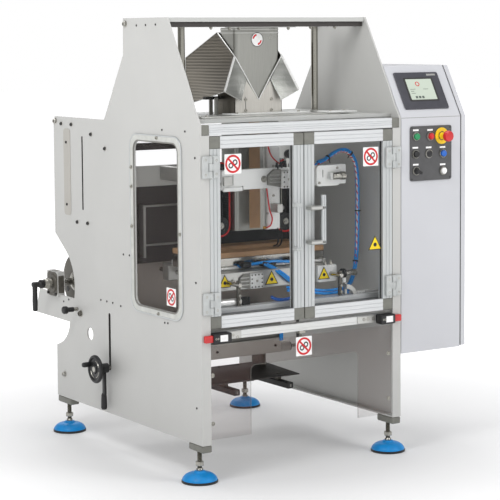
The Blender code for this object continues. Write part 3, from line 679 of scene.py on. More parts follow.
# Painted shade: the tube's steel made darker for the collar's side and back plates, which lie in shade under
# the wings.
SHADED_TUBE_SIDE = DrawnMetal("dark_tube", tone(104, 100, 92), 0.36, ALONG_Z, 0.1)
STEEL = DrawnMetal("ground_steel", tone(176, 174, 168), 0.2, ALONG_X, 0.1)
STEEL_Z = DrawnMetal("ground_steel_upright", tone(150, 148, 140), 0.16, ALONG_Z, 0.1)
ZINC = CastMetal("zinc", tone(170, 168, 160), 0.32, 0.9)
IRON = CastMetal("grey_iron", tone(96, 93, 86), 0.5, 0.5)
DIMPLED = DimpledSheet("dimpled_sheet", tone(134, 135, 131))
RIBBED = RibbedSheet("ribbed_sheet", tone(136, 131, 122))
COLLAR = DrawnMetal("collar_sheet", tone(196, 193, 186), 0.36, ALONG_Z, 0.1, 0.5)
BRIGHT_LIP = DrawnMetal("bright_lip", tone(236, 236, 234), 0.25, ALONG_Z, 0.03, 0.5)
BLACK = Moulding("black_moulding", tone(26, 26, 27), 0.42)
SATIN_BLACK = Moulding("satin_black", tone(44, 43, 42), 0.5)
SLATE = Moulding("slate_plastic", tone(62, 62, 69), 0.42)
BUTTON_PLATE = Moulding("button_plate", tone(78, 78, 79), 0.45)
HINGE = Moulding("hinge_plastic", tone(184, 187, 186), 0.42)
RED_BELT = Moulding("red_belt", tone(206, 36, 34), 0.5)
RED = Moulding("red_cap", tone(198, 32, 34), 0.35, 0.08, 0.3)
GREEN = Moulding("green_cap", tone(20, 140, 84), 0.35, 0.08, 0.3)
BLUE = Moulding("blue_cap", tone(20, 96, 190), 0.35, 0.08, 0.3)
WHITE = Moulding("white_cap", tone(238, 238, 236), 0.35, 0.08, 0.3)
YELLOW = Moulding("yellow_disc", tone(240, 200, 30), 0.4, 0.08)
AMBER = Moulding("brass_tip", tone(190, 140, 40), 0.35)
FOOT_BLUE = Moulding("blue_foot", tone(0, 140, 214), 0.45)
HOSE_BLUE = Moulding("blue_hose", tone(12, 146, 232), 0.35, 0.05, 0.4)
RED_CORE = Moulding("red_cable", tone(205, 34, 40), 0.4, 0.05)
PALE_CORE = Moulding("pale_cable", tone(225, 222, 220), 0.4, 0.05)
TEFLON = Moulding("brown_glass_cloth", tone(168, 132, 96), 0.5)
STICKER = Moulding("sign_white", tone(244, 244, 242), 0.45, 0.05)
SIGN_RED = Moulding("sign_red", tone(204, 20, 30), 0.45, 0.05)
SIGN_YELLOW = Moulding("sign_yellow", tone(246, 214, 10), 0.45, 0.05)
PANE = ClearSheet("door_pane", tone(120, 126, 128), 0.03)
SIDE_PANE = ClearSheet("side_pane", tone(120, 112, 110), 0.05)
GUARD = ClearSheet("guard_sheet", tone(92, 62, 56), 0.12)
SCREEN = LitScreen("screen", tone(192, 202, 188), 0.1)
SCREEN_PART = LitScreen("screen_part", tone(96, 104, 98), 0.1)


# ---- pieces -----------------------------------------------------------------------------------
@dataclass
class Piece:
    """A finished object made of one or more shapes, each with its own finish."""

    name: str
    body: str
    slot: str
    parts: list[tuple[Shape, Finish]] = field(default_factory=list)
    stands_for: tuple[str, ...] = ()
    crease: float = 35.0

    def add(self, finish: Finish, *shapes: Shape) -> None:
        """Adds shapes in a finish."""
        self.parts += [(shape, finish) for shape in shapes]

    def place(self) -> bpy.types.Object:
        """Makes the mesh, turns its faces outwards, rides it on its body and reports it.

        Returns:
            The new object, at the origin.
        """
        finishes = list(dict.fromkeys(finish for _, finish in self.parts))
        whole = many(shape for shape, _ in self.parts)
        numbers = np.repeat([finishes.index(finish) for _, finish in self.parts],
                            [len(shape.faces) for shape, _ in self.parts])
        mesh = bpy.data.meshes.new(self.name)
        mesh.from_pydata(DATUM.place(whole.points).tolist(), [], whole.faces)
        for finish in finishes:
            mesh.materials.append(finish.material())
        mesh.polygons.foreach_set("material_index", numbers.astype(np.int32))
        work = bmesh.new()
        work.from_mesh(mesh)
        bmesh.ops.recalc_face_normals(work, faces=work.faces)
        work.to_mesh(mesh)
        work.free()
        mesh.shade_smooth()
        mesh.set_sharp_from_angle(angle=math.radians(self.crease))
        thing = bpy.data.objects.new(self.name, mesh)
        bpy.context.scene.collection.objects.link(thing)
        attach(thing, self.body)
        if self.stands_for:
            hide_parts(*self.stands_for)
        log.info("%s: %d faces on %s", self.name, len(mesh.polygons), self.body)
        return thing


def dress(finish: Finish, *nodes: str) -> None:
    """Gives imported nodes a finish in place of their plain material."""
    for node in nodes:
        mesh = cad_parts[node].data
        mesh.materials.clear()
        mesh.materials.append(finish.material())


# ---- studio -----------------------------------------------------------------------------------
@dataclass
class Studio:
    """A pale floor, soft lights and the camera, which stands to the left of the machine's front."""

    focal: float = 128.41
    sensor: float = 36.0
    shift_down: float = 0.1196
    stand: Triple = (-3.4279, -5.3713, 1.4436)
    azimuth: float = -33.0
    tilt_down: float = 5.0
    roll: float = -0.4

    def camera(self) -> None:
        """Places the camera: its back axis is (sin a cos t, -cos a cos t, sin t)."""
        a, t, r = (math.radians(v) for v in (self.azimuth, self.tilt_down, self.roll))
        back = Vector((math.sin(a) * math.cos(t), -math.cos(a) * math.cos(t), math.sin(t)))
        level = Vector((math.cos(a), math.sin(a), 0.0))
        lift = back.cross(level)
        right = level * math.cos(r) + lift * math.sin(r)
        up = lift * math.cos(r) - level * math.sin(r)
        data = bpy.data.cameras.new("camera")
        data.sensor_width, data.lens, data.shift_y = self.sensor, self.focal, -self.shift_down
        data.clip_end = 200.0
        camera = bpy.data.objects.new("camera", data)
        turn = Matrix((right, up, back)).transposed().to_4x4()
        camera.matrix_world = Matrix.Translation(Vector(self.stand)) @ turn
        bpy.context.scene.collection.objects.link(camera)
        bpy.context.scene.camera = camera

    def floor(self) -> None:
        """A round pale floor: rings of radius r at even angles, lit from within away from the machine."""
        turn = np.linspace(0, 2 * math.pi, 64, endpoint=False)
        radius = np.array([0.001, 3.0, 40.0])[:, None]
        grid = lay(radius * np.cos(turn), radius * np.sin(turn), np.zeros((3, 64)), Axis.Z)
        shape = skin(grid[::-1], wrap_columns=True)
        mesh = bpy.data.meshes.new("floor")
        mesh.from_pydata(shape.points.tolist(), [], shape.faces)
        sheet = ShaderSheet("floor_paper", (0.8, 0.8, 0.8), 0.9, 0.0)
        sheet.tint(sheet.spread(sheet.noise(0.8, 3.0), 0.0, 1.0), (0.79, 0.79, 0.79), (0.81, 0.81, 0.81))
        tree = sheet.tree
        away = tree.nodes.new("ShaderNodeVectorMath")
        away.operation = "LENGTH"
        glow = tree.nodes.new("ShaderNodeMapRange")
        glow.inputs["From Min"].default_value, glow.inputs["From Max"].default_value = 0.7, 2.6
        glow.inputs["To Min"].default_value, glow.inputs["To Max"].default_value = 0.12, 0.75
        tree.links.new(sheet.place, away.inputs[0])
        tree.links.new(away.outputs["Value"], glow.inputs["Value"])
        tree.links.new(glow.outputs["Result"], sheet.shader.inputs["Emission Strength"])
        sheet.shader.inputs["Emission Color"].default_value = (1.0, 1.0, 1.0, 1.0)
        mesh.materials.append(sheet.material)
        floor = bpy.data.objects.new("floor", mesh)
        bpy.context.scene.collection.objects.link(floor)

    def softbox(self, name: str, stand: Triple, aim: Triple, size: float, watts: float) -> None:
        """A square area light that stands at one point and faces another."""
        data = bpy.data.lights.new(name, "AREA")
        data.shape, data.size, data.energy = "SQUARE", size, watts
        lamp = bpy.data.objects.new(name, data)
        lamp.location = stand
        lamp.rotation_euler = (Vector(stand) - Vector(aim)).to_track_quat("Z", "Y").to_euler()
        lamp.visible_camera = False
        bpy.context.scene.collection.objects.link(lamp)

    def room(self) -> None:
        """A white room: full white round the horizon, greyer overhead, so that bright metal has shape."""
        world = bpy.data.worlds.new("room")
        world.use_nodes = True
        tree = world.node_tree
        place = tree.nodes.new("ShaderNodeTexCoord")
        parts = tree.nodes.new("ShaderNodeSeparateXYZ")
        ramp = tree.nodes.new("ShaderNodeValToRGB")
        ramp.color_ramp.elements[0].position, ramp.color_ramp.elements[0].color = 0.1, (1.0, 1.0, 1.0, 1.0)
        ramp.color_ramp.elements[1].position, ramp.color_ramp.elements[1].color = 0.36, (0.36, 0.36, 0.37,
                                                                                         1.0)
        tree.links.new(place.outputs["Generated"], parts.inputs["Vector"])
        tree.links.new(parts.outputs["Z"], ramp.inputs["Fac"])
        tree.links.new(ramp.outputs["Color"], tree.nodes["Background"].inputs["Color"])
        tree.nodes["Background"].inputs["Strength"].default_value = 1.0
        bpy.context.scene.world = world
        bpy.context.scene.view_settings.view_transform = "Standard"

    def build(self) -> None:
        """Makes the whole studio."""
        self.camera()
        self.floor()
        self.room()
        self.softbox("key", (-2.3, -1.3, 3.1), (-0.4, 0.0, 1.2), 1.2, 40.0)
        self.softbox("fill", (1.4, -3.1, 2.9), (0.3, -0.5, 1.0), 1.4, 36.0)
        self.softbox("top", (0.0, 0.4, 4.2), (0.0, 0.0, 0.0), 2.0, 42.0)
        self.softbox("rear", (1.5, 4.5, 3.5), (0.0, 0.0, 0.8), 2.5, 60.0)


# ---- side plates ------------------------------------------------------------------------------
@dataclass
class SidePlates:
    """The two side plates, their screws, the side window's seal and the covers in the ears."""

    width: float = 0.8
    window: tuple[Pair, Pair] = ((0.138, 0.425), (0.538, 1.091))
    seal: tuple[Pair, Pair] = ((0.112, 0.452), (0.514, 1.115))
    cap_screws: tuple[Pair, ...] = ((0.957, 1.127), (0.879, 1.127), (0.731, 1.098), (0.63, 1.053),
                                    (0.843, 0.78), (0.763, 0.782))
    dots: tuple[Pair, ...] = ((0.398, 1.475), (0.337, 1.476), (0.272, 1.477), (0.091, 1.135), (0.031, 1.053),
                              (0.237, 1.134), (0.032, 0.653), (0.034, 0.246), (0.508, 0.697), (0.466, 0.698),
                              (0.675, 0.52), (0.631, 0.52), (0.588, 0.52), (0.531, 0.516), (0.232, 0.498),
                              (0.212, 0.499), (0.96, 0.48), (0.92, 0.492))
    ties: tuple[Pair, ...] = ((0.474, 1.481), (1.004, 1.135), (0.961, 0.212))

    def side(self, right: bool) -> tuple[str, float, int]:
        """The side's name, the X of its outer face, and the way outwards."""
        return ("right", self.width, 1) if right else ("left", 0.0, -1)

    def fixings(self, right: bool) -> Piece:
        """Cap screws, small screws and tie-bar bolts on one plate's outer face."""
        name, x, out = self.side(right)
        piece = Piece(f"{name}_plate_fixings", "machine", "plate_grey")
        for y, z in self.cap_screws:
            if right and y < 0.46:
                continue
            piece.add(ZINC, washer(Axis.X, (x, y, z), 0.0078, 0.001, out))
            piece.add(SATIN_BLACK, socket_head(Axis.X, (x, y, z), 0.006, 0.0055, out))
        for y, z in self.dots:
            if right and y < 0.46 and 0.34 < z < 1.33:
                continue
            piece.add(SATIN_BLACK, socket_head(Axis.X, (x, y, z), 0.0036, 0.0016, out))
        for y, z in self.ties:
            piece.add(STEEL, washer(Axis.X, (x, y, z), 0.0115, 0.0016, out),
                      socket_head(Axis.X, (x + out * 0.0016, y, z), 0.0085, 0.0075, out))
        return piece

    def window_seal(self) -> Piece:
        """The clear cover's rim round the side window, with its screws."""
        outer = rounded(*self.seal, 0.046, 6)
        inner = rounded(*self.window, 0.03, 6)
        lip = drawn_in(outer, 0.0035)
        piece = Piece("window_seal", "machine", "clear")
        piece.add(GASKET, slab(outer, inner, Axis.X, -0.003, -0.0002, 0.0006))
        piece.add(RAIL_Z, slab(drawn_in(outer, -0.001), lip, Axis.X, -0.0042, -0.0001, 0.0006))
        piece.add(HOUSING,
                  slab(drawn_in(inner, -0.004), drawn_in(inner, 0.0006), Axis.X, -0.004, -0.0001, 0.0005))
        for y, z in ((0.268, 1.106), (0.441, 1.0), (0.441, 0.935), (0.441, 0.8), (0.268, 0.523),
                     (0.124, 0.8)):
            piece.add(ZINC, washer(Axis.X, (-0.003, y, z), 0.007, 0.001),
                      socket_head(Axis.X, (-0.0035, y, z), 0.0052, 0.0042))
        piece.parts += ban_sign((0.0061, 0.1985, 0.586), Axis.X, 0.06)
        return piece

    def liners(self, right: bool) -> Piece:
        """Thin black guides that line the narrow slot of the ear and the adjuster's slot."""
        name, x, out = self.side(right)
        low, high = sorted((x + out * 0.0004, x - out * 0.0085))
        piece = Piece(f"{name}_slot_liners", "machine", "black_plastic")
        for y, z, radius in (((0.7952, 0.8038), (0.8262, 1.0888), 0.004),
                             ((0.6072, 0.6208), (0.2802, 0.4808), 0.0064)):
            slot = rounded(y, z, radius, 4)
            piece.add(SATIN_BLACK, slab(slot, drawn_in(slot, 0.0006), Axis.X, low, high, 0.0001))
        return piece

    def ear_cover(self, right: bool) -> Piece:
        """The flat cover in the wide slot of the ear, and its two screws."""
        name, x, out = self.side(right)
        low, high = sorted((x + out * 0.0016, x + out * 0.0001))
        piece = Piece(f"{name}_ear_cover", "machine", "plate_grey")
        piece.add(GREY_PANEL, pushed(rounded((0.89, 0.941), (0.8, 1.111), 0.012), Axis.X, low, high, 0.0004))
        for z in (1.062, 0.838):
            piece.add(SATIN_BLACK, socket_head(Axis.X, (x + out * 0.0014, 0.919, z), 0.0048, 0.003, out))
        return piece

    def bearing(self, right: bool) -> Piece:
        """The reel shaft's bearing block on the horn: a rounded casting with its nut."""
        name, x, out = self.side(right)
        outline = rounded((0.986, 1.074), (0.4905, 0.5862), 0.022, 6)
        near, far = sorted((x + out * 0.0108, x - out * 0.0186))
        piece = Piece(f"{name}_reel_bearing", "machine", "plate_grey")
        piece.add(IRON, pushed(outline, Axis.X, near, far, 0.004),
                  lathed([(out * 0.0106, 0.036), (out * 0.015, 0.034), (out * 0.016, 0.029)], Axis.X,
                         (x, 1.03, 0.54), 28))
        for y, z in ((1.0, 0.503), (1.06, 0.503)):
            piece.add(SATIN_BLACK, socket_head(Axis.X, (x + out * 0.0108, y, z), 0.0052, 0.005, out))
        return piece

    def build(self) -> None:
        """Makes every piece on the plates and paints the plates."""
        dress(PLATE, "left_side_plate", "right_side_plate")
        dress(SIDE_PANE, "window_pane")
        for right in (False, True):
            self.fixings(right).place()
            self.ear_cover(right).place()
            self.bearing(right).place()
            self.liners(right).place()
        self.window_seal().place()


# ---- cross members ----------------------------------------------------------------------------
def grooved(across: Pair, front: float, depth: float, grooves: Sequence[float],
            ease: float = 0.0012) -> Array:
    """An extrusion's section: a rectangle with V grooves in its front face.

    Args:
        across: lowest and highest coordinate across the front.
        front: the front face; the section runs back from it by depth.
        depth: how deep the section is.
        grooves: where the grooves are, across the front, in rising order.
        ease: chamfer of the four corners.

    Returns:
        The outline as (across, depthwise) pairs.
    """
    low, high = across
    face = [(low + ease, front)]
    for at in grooves:
        face += [(at - 0.0011, front), (at - 0.0004, front + 0.0016), (at + 0.0004, front + 0.0016),
                 (at + 0.0011, front)]
    back = front + depth
    face += [(high - ease, front), (high, front + ease), (high, back - ease), (high - ease, back),
             (low + ease, back), (low, back - ease), (low, front + ease)]
    return np.array(face)


@dataclass
class CrossMembers:
    """The header over the doors, the beam under them, the top beam, posts, deck and tie bars."""

    inside: Pair = BETWEEN_PLATES
    header_z: Pair = (1.1244, 1.1576)
    knots: tuple[Pair, Pair] = ((0.0066, 0.0345), (0.763, 0.7934))

    def header(self) -> Piece:
        """A level extrusion with three grooves between two corner blocks."""
        z0, z1 = self.header_z
        section = grooved((z0, z1), 0.0003, 0.0394, (z0 + 0.01, z0 + 0.0165, z0 + 0.023))[:, ::-1]
        piece = Piece("header_rail", "machine", "profile", stands_for=("header_profile",))
        piece.add(RAIL_X, pushed(section, Axis.X, self.knots[0][1], self.knots[1][0], 0.0002))
        for x in self.knots:
            piece.add(KNOT, block(x, (0.0001, 0.0398), (z0, z1), 0.002, 2))
        return piece

    def lower_beam(self) -> Piece:
        """The beam under the doors with its end brackets, screws and the catch in the middle."""
        piece = Piece("lower_beam", "machine", "white_part", stands_for=("lower_cross_beam",))
        section = grooved((0.4612, 0.4878), 0.0184, 0.0264, (0.47,))[:, ::-1]
        piece.add(WHITE_PLATE, pushed(section, Axis.X, *self.inside, 0.0002))
        for x in (0.128, 0.146):
            piece.add(ZINC, socket_head(Axis.Y, (x, 0.0184, 0.4745 if x < 0.13 else 0.466), 0.005, 0.004))
        for x in (0.655, 0.672, 0.694):
            piece.add(ZINC, socket_head(Axis.Y, (x, 0.0184, 0.476), 0.006, 0.005))
        piece.add(ALLOY, block((0.106, 0.16), (0.015, 0.0186), (0.4625, 0.4865), 0.0008),
                  block((0.628, 0.704), (0.015, 0.0186), (0.4625, 0.4865), 0.0008))
        piece.add(ZINC, block((0.392, 0.416), (0.019, 0.044), (0.452, 0.4615), 0.0012),
                  lathed([(0, 0.0055), (-0.01, 0.0055), (-0.012, 0.0045)], Axis.Z, (0.404, 0.03, 0.4525), 14))
        return piece

    def top_beam(self) -> Piece:
        """The folded top channel, its arms, the clamp over the tube and the screws under it, with painted
        shade on the web under its front lip.
        """
        piece = Piece("top_channel", "machine", "plate_grey", stands_for=("top_cross_beam",))
        channel = np.array([(0.2003, 1.4992), (0.262, 1.4992), (0.262, 1.4682), (0.2585, 1.4682),
                            (0.2585, 1.4957), (0.2155, 1.4957), (0.2155, 1.4682), (0.212, 1.4682),
                            (0.212, 1.4852), (0.2003, 1.4852)])
        piece.add(DECK, pushed(channel, Axis.X, *self.inside, 0.0002))
        # Painted shade: a dark strip on the recessed web under the front lip, where the lip casts its shade.
        piece.add(DARK_SHEET, block(self.inside, (0.2106, 0.2122), (1.4684, 1.4848), 0.0003))
        for x in (0.129, 0.671):
            piece.add(DECK, block(about(x, 0.0195), (0.261, 0.3448), (1.4882, 1.4988), 0.001))
            piece.add(ZINC, hex_nut(Axis.Z, (x, 0.325, 1.4988), 0.01, 0.0008, 1))
        piece.add(ALLOY, block((0.258, 0.52), (0.218, 0.256), (1.466, 1.47), 0.0008))
        for x in (0.19, 0.262, 0.3, 0.5, 0.592, 0.694):
            piece.add(ZINC,
                      hex_nut(Axis.Z, (x, 0.235, 1.469 if x < 0.25 or x > 0.55 else 1.4665), 0.0065, 0.006))
        return piece

    def deck(self) -> Piece:
        """The plates on the deck round the tube, with their screws: front lip, clamp plates and slides."""
        piece = Piece("deck_fittings", "machine", "plate_grey")
        piece.add(ALLOY, block((0.1, 0.66), (0.15, 0.21), (1.1702, 1.1752), 0.001))
        piece.add(WHITE_PLATE, block((0.25, 0.56), (0.2, 0.265), (1.1752, 1.1792), 0.001),
                  block((0.6, 0.72), (0.14, 0.21), (1.1753, 1.18), 0.001))
        piece.add(ALLOY, block((0.03, 0.16), (0.215, 0.31), (1.1702, 1.1742), 0.001))
        for x, y in ((0.28, 0.22), (0.53, 0.22), (0.62, 0.16), (0.7, 0.19), (0.13, 0.17), (0.06, 0.26)):
            piece.add(ZINC, socket_head(Axis.Z, (x, y, 1.1752 if x < 0.2 else 1.1795), 0.0048, 0.004, 1))
        return piece

    def posts(self) -> Piece:
        """A collar at the foot and head of each guide post."""
        piece = Piece("post_collars", "machine", "polished")
        for x in (0.129, 0.671):
            for low, high in ((1.1702, 1.178), (1.48, 1.4878)):
                piece.add(ALLOY, lathed([(low, 0.017), (high, 0.017)], Axis.Z, (x, 0.325, 0), 24))
        return piece

    def partition(self) -> Piece:
        """The partition behind the jaws: a light upper fold, a dark lower panel, and the drive's cover."""
        piece = Piece("rear_partition", "machine", "housing_grey", stands_for=("drive_housing",))
        piece.add(SEEN_PANEL, block(self.inside, (0.5775, 0.589), (0.918, 0.99), 0.0012))
        piece.add(DARK_SHEET, block(self.inside, (0.58, 0.5885), (0.65, 0.918), 0.0006))
        piece.add(LOW_SHEET, block(self.inside, (0.5795, 0.5888), (0.4405, 0.65), 0.0006))
        piece.add(ALLOY, block((0.102, 0.113), (0.548, 0.58), (0.672, 0.855), 0.0015))
        for z in (0.716, 0.852):
            piece.add(ALLOY, block((0.112, 0.31), (0.55, 0.558), about(z, 0.0035), 0.0012))
        piece.add(DARK_SHEET, block(self.inside, (0.5752, 0.5948), (1.0452, 1.0698), 0.0015))
        for x in ((0.0066, 0.03), (0.77, 0.7934)):
            piece.add(GREY_PANEL, block(x, (0.5772, 0.5928), (0.9802, 1.0718), 0.001))
        piece.add(HOUSING, block((0.0905, 0.6115), (0.4505, 0.5795), (0.3115, 0.4695), 0.006, 3))
        for x in (0.12, 0.27, 0.43, 0.58):
            for z in (0.33, 0.45):
                piece.add(SATIN_BLACK, socket_head(Axis.Y, (x, 0.4505, z), 0.0052, 0.0045))
        return piece

    def build(self) -> None:
        """Makes the cross members."""
        dress(DECK, "deck_plate")
        dress(STEEL_Z, "left_post", "right_post")
        dress(STEEL, "rear_top_tie_bar", "lower_rear_tie_bar")
        for piece in (self.header(), self.lower_beam(), self.top_beam(), self.deck(), self.posts(),
                      self.partition()):
            piece.place()


# ---- doors ------------------------------------------------------------------------------------
def ban_sign(centre: Triple, axis: Axis, size: float) -> list[tuple[Shape, Finish]]:
    """A plain white square with a red ring and slash over two small dark rings.

    Args:
        centre: middle of the sign's back.
        axis: the way the sign faces, backwards along it.
        size: side of the square.

    Returns:
        The sign's shapes and finishes, for a piece.
    """
    order = axis.value
    a, b, n = centre[order[0]], centre[order[1]], centre[order[2]]
    half = size / 2
    plate = pushed(rounded((a - half, a + half), (b - half, b + half), 0.002, 2), axis, n - 0.0006, n, 0.0001)
    outer, inner = circle(a, b, half * 0.92, 36), circle(a, b, half * 0.71, 36)
    ring = slab(outer, inner, axis, n - 0.001, n - 0.0006)
    turn = math.radians(-45)
    bar = np.array([(-half * 0.78, -half * 0.1), (half * 0.78, -half * 0.1), (half * 0.78, half * 0.1),
                    (-half * 0.78, half * 0.1)]) @ np.array([(math.cos(turn), math.sin(turn)),
                                                              (-math.sin(turn), math.cos(turn))])
    slash = pushed(bar + np.array([a, b]), axis, n - 0.0011, n - 0.0006)
    rings = [slab(circle(a + s * half * 0.25, b + s * half * 0.16, half * 0.29, 18),
                  circle(a + s * half * 0.25, b + s * half * 0.16, half * 0.16, 18), axis, n - 0.0009,
                  n - 0.0006) for s in (-1, 1)]
    return [(plate, STICKER), (ring, SIGN_RED), (slash, SIGN_RED), (many(rings), BLACK)]


def care_sign(apex: Triple, axis: Axis, width: float) -> list[tuple[Shape, Finish]]:
    """A plain yellow triangle in a dark border with a dark dot, point upwards."""
    order = axis.value
    a, b, n = apex[order[0]], apex[order[1]], apex[order[2]]
    height = width * 0.88
    big = np.array([(a - width / 2, b - height), (a + width / 2, b - height), (a, b)])
    small = drawn_in(big, width * 0.055)
    dot = circle(a, b - height * 0.64, width * 0.12, 12)
    return [(pushed(big, axis, n - 0.0006, n), BLACK), (pushed(small, axis, n - 0.0009, n - 0.0004),
                                                        SIGN_YELLOW),
            (pushed(dot, axis, n - 0.0012, n - 0.0006), BLACK)]


@dataclass
class Door:
    """One glazed door: four extruded rails between corner blocks, hinge leaves, handle and signs."""

    side: str
    span: Pair
    hinge_x: float
    towards: int
    height: Pair = (0.503, 1.121)
    rail: float = 0.04
    depth: float = 0.028
    hinge_y: float = -0.007
    hinge_z: Pair = (0.55, 0.988)
    hinge_h: float = 0.072

    @property
    def body(self) -> str:
        """The moving body's name."""
        return f"{self.side}_door"

    def reach(self, near: float, far: float) -> Pair:
        """Two distances from the hinge axis towards the door, as a rising pair of X."""
        first, second = self.hinge_x + self.towards * near, self.hinge_x + self.towards * far
        return (min(first, second), max(first, second))

    def rails(self) -> Piece:
        """Uprights and level rails of grooved extrusion, and the four corner blocks."""
        x0, x1 = self.span
        z0, z1 = self.height
        piece = Piece(f"{self.side}_door_rails", self.body, "profile",
                      stands_for=(f"{self.side}_door_frame",))
        for low in (x0, x1 - self.rail):
            section = grooved((low + 0.0002, low + self.rail - 0.0002), 0.0002, self.depth - 0.0004,
                              (low + 0.0135, low + 0.0265))
            piece.add(RAIL_Z, pushed(section, Axis.Z, z0 + self.rail, z1 - self.rail))
            bead = low + self.rail if low == x0 else low
            piece.add(SATIN_BLACK,
                      block(about(bead, 0.0008), (0.01, 0.018), (z0 + self.rail, z1 - self.rail), 0.0003))
        for low in (z0, z1 - self.rail):
            section = grooved((low + 0.0002, low + self.rail - 0.0002), 0.0002, self.depth - 0.0004,
                              (low + 0.0135, low + 0.0265))[:, ::-1]
            piece.add(RAIL_X, pushed(section, Axis.X, x0 + self.rail, x1 - self.rail))
            bead = low + self.rail if low == z0 else low
            piece.add(SATIN_BLACK,
                      block((x0 + self.rail, x1 - self.rail), (0.01, 0.018), about(bead, 0.0008), 0.0003))
            for side in (x0, x1 - self.rail):
                piece.add(KNOT, block((side, side + self.rail), (0.0, self.depth), (low, low + self.rail),
                                      0.0022, 2))
        return piece

    def knuckles(self, stretches: Sequence[Pair]) -> Shape:
        """Hinge knuckles with rounded rims on the hinge axis."""
        return many(lathed([(low + 0.0003, 0.0055), (low + 0.0013, 0.0065), (high - 0.0013, 0.0065),
                            (high - 0.0003, 0.0055)], Axis.Z, (self.hinge_x, self.hinge_y, 0), 18)
                    for low, high in stretches)

    def leaves(self) -> Piece:
        """The moving halves of the two hinges, each with two screws."""
        piece = Piece(f"{self.side}_hinge_leaves", self.body, "hinge_grey")
        third = self.hinge_h / 3
        for low in self.hinge_z:
            piece.add(HINGE, block(self.reach(0.0088, 0.0318), (-0.0098, 0.0001),
                                   (low + 0.0003, low + self.hinge_h - 0.0003), 0.0025, 2),
                      block(self.reach(0.003, 0.0105), (-0.0096, -0.0034), (low + third + 0.001,
                                                                            low + 2 * third - 0.001), 0.001),
                      self.knuckles([(low + third, low + 2 * third)]))
            for z in (low + 0.014, low + self.hinge_h - 0.014):
                x = sum(self.reach(0.0205, 0.0205)) / 2
                piece.add(ZINC, socket_head(Axis.Y, (x, -0.0095, z), 0.0042, 0.0004))
        return piece

    def fixed_hinges(self) -> Piece:
        """The fixed halves, with the pin's head showing above and below."""
        names = (f"{self.side}_hinge_upper", f"{self.side}_hinge_lower")
        piece = Piece(f"{self.side}_fixed_hinges", "machine", "hinge_grey", stands_for=names)
        third = self.hinge_h / 3
        for low in self.hinge_z:
            piece.add(HINGE, block(self.reach(-0.0303, -0.0083), (-0.0098, -0.0004),
                                   (low + 0.0003, low + self.hinge_h - 0.0003), 0.0025, 2))
            ends = [(low, low + third), (low + 2 * third, low + self.hinge_h)]
            piece.add(HINGE, self.knuckles(ends))
            piece.add(STEEL_Z, lathed([(low - 0.0018, 0.003), (low + self.hinge_h + 0.0018, 0.003)], Axis.Z,
                                      (self.hinge_x, self.hinge_y, 0), 12))
            for start, end in ends:
                piece.add(HINGE, block(self.reach(-0.01, -0.003), (-0.0096, -0.0034),
                                       (start + 0.001, end - 0.001), 0.001))
                x = sum(self.reach(-0.0195, -0.0195)) / 2
                piece.add(ZINC, socket_head(Axis.Y, (x, -0.0095, (start + end) / 2), 0.0042, 0.0004))
        return piece

    def handle(self) -> Piece:
        """The left door's upright bar on two blocks, or the right door's bar on two long arms."""
        piece = Piece(f"{self.side}_handle", self.body, "handle_white",
                      stands_for=(f"{self.side}_door_handle",))
        if self.side == "left":
            section = grooved((0.3492, 0.3698), -0.0355, 0.011, (0.356, 0.363), 0.002)
            piece.add(RAIL_Z, pushed(section, Axis.Z, 0.7475, 0.8805, 0.0005))
            for low, high in ((0.7362, 0.7482), (0.8798, 0.8918)):
                piece.add(HINGE, pushed(rounded((0.3472, 0.3718), (-0.0358, -0.0004), 0.009, 5), Axis.Z, low,
                                        high, 0.0018))
        else:
            section = grooved((0.4502, 0.4658), -0.0338, 0.0116, (0.458,), 0.002)
            piece.add(RAIL_Z, pushed(section, Axis.Z, 0.7522, 0.9148, 0.0006))
            for low, high in ((0.7518, 0.7662), (0.8658, 0.8802)):
                piece.add(ALLOY, block((0.4062, 0.466), (-0.0338, -0.0222), (low, high), 0.0035, 3),
                          block((0.4062, 0.4378), (-0.03, -0.0004), (low, high), 0.0035, 3))
        return piece

    def signs(self) -> Piece:
        """The plain signs on the pane."""
        piece = Piece(f"{self.side}_door_signs", self.body, "white")
        if self.side == "left":
            piece.parts += ban_sign((0.13, PANE_FRONT, 1.0295), Axis.Y, 0.064)
        else:
            piece.parts += ban_sign((0.6815, PANE_FRONT, 1.0295), Axis.Y, 0.064)
            piece.parts += care_sign((0.699, PANE_FRONT, 0.762), Axis.Y, 0.058)
        return piece

    def build(self) -> None:
        """Makes the door's pieces and clears its pane."""
        dress(PANE, f"{self.side}_door_pane")
        for piece in (self.rails(), self.leaves(), self.fixed_hinges(), self.handle(), self.signs()):
            piece.place()


@dataclass
class DoorSwitches:
    """The two safety switches under the doors: black body, red actuator, white label and two screws."""

    bodies: tuple[Pair, Pair] = ((0.035, 0.1035), (0.7055, 0.765))
    keys: tuple[Pair, Pair] = ((0.0062, 0.0355), (0.7645, 0.7938))

    def build(self) -> None:
        """Makes both switches."""
        for side, body, key in zip(("left", "right"), self.bodies, self.keys):
            piece = Piece(f"{side}_door_switch", "machine", "black_plastic",
                          stands_for=(f"{side}_safety_switch",))
            piece.add(BLACK, block(body, (-0.0176, 0.0172), (0.4574, 0.4896), 0.0025, 2))
            middle = sum(body) / 2
            piece.add(STICKER,
                      block((middle - 0.01, middle + 0.019), (-0.0179, -0.017), (0.463, 0.4845), 0.0004))
            for x in (body[0] + 0.009, body[0] + 0.017):
                piece.add(ZINC, socket_head(Axis.Y, (x, -0.0172, 0.4735), 0.0035, 0.0008))
            piece.add(RED, block(key, (-0.0138, -0.0008), (0.4622, 0.4848), 0.002, 2))
            piece.place()


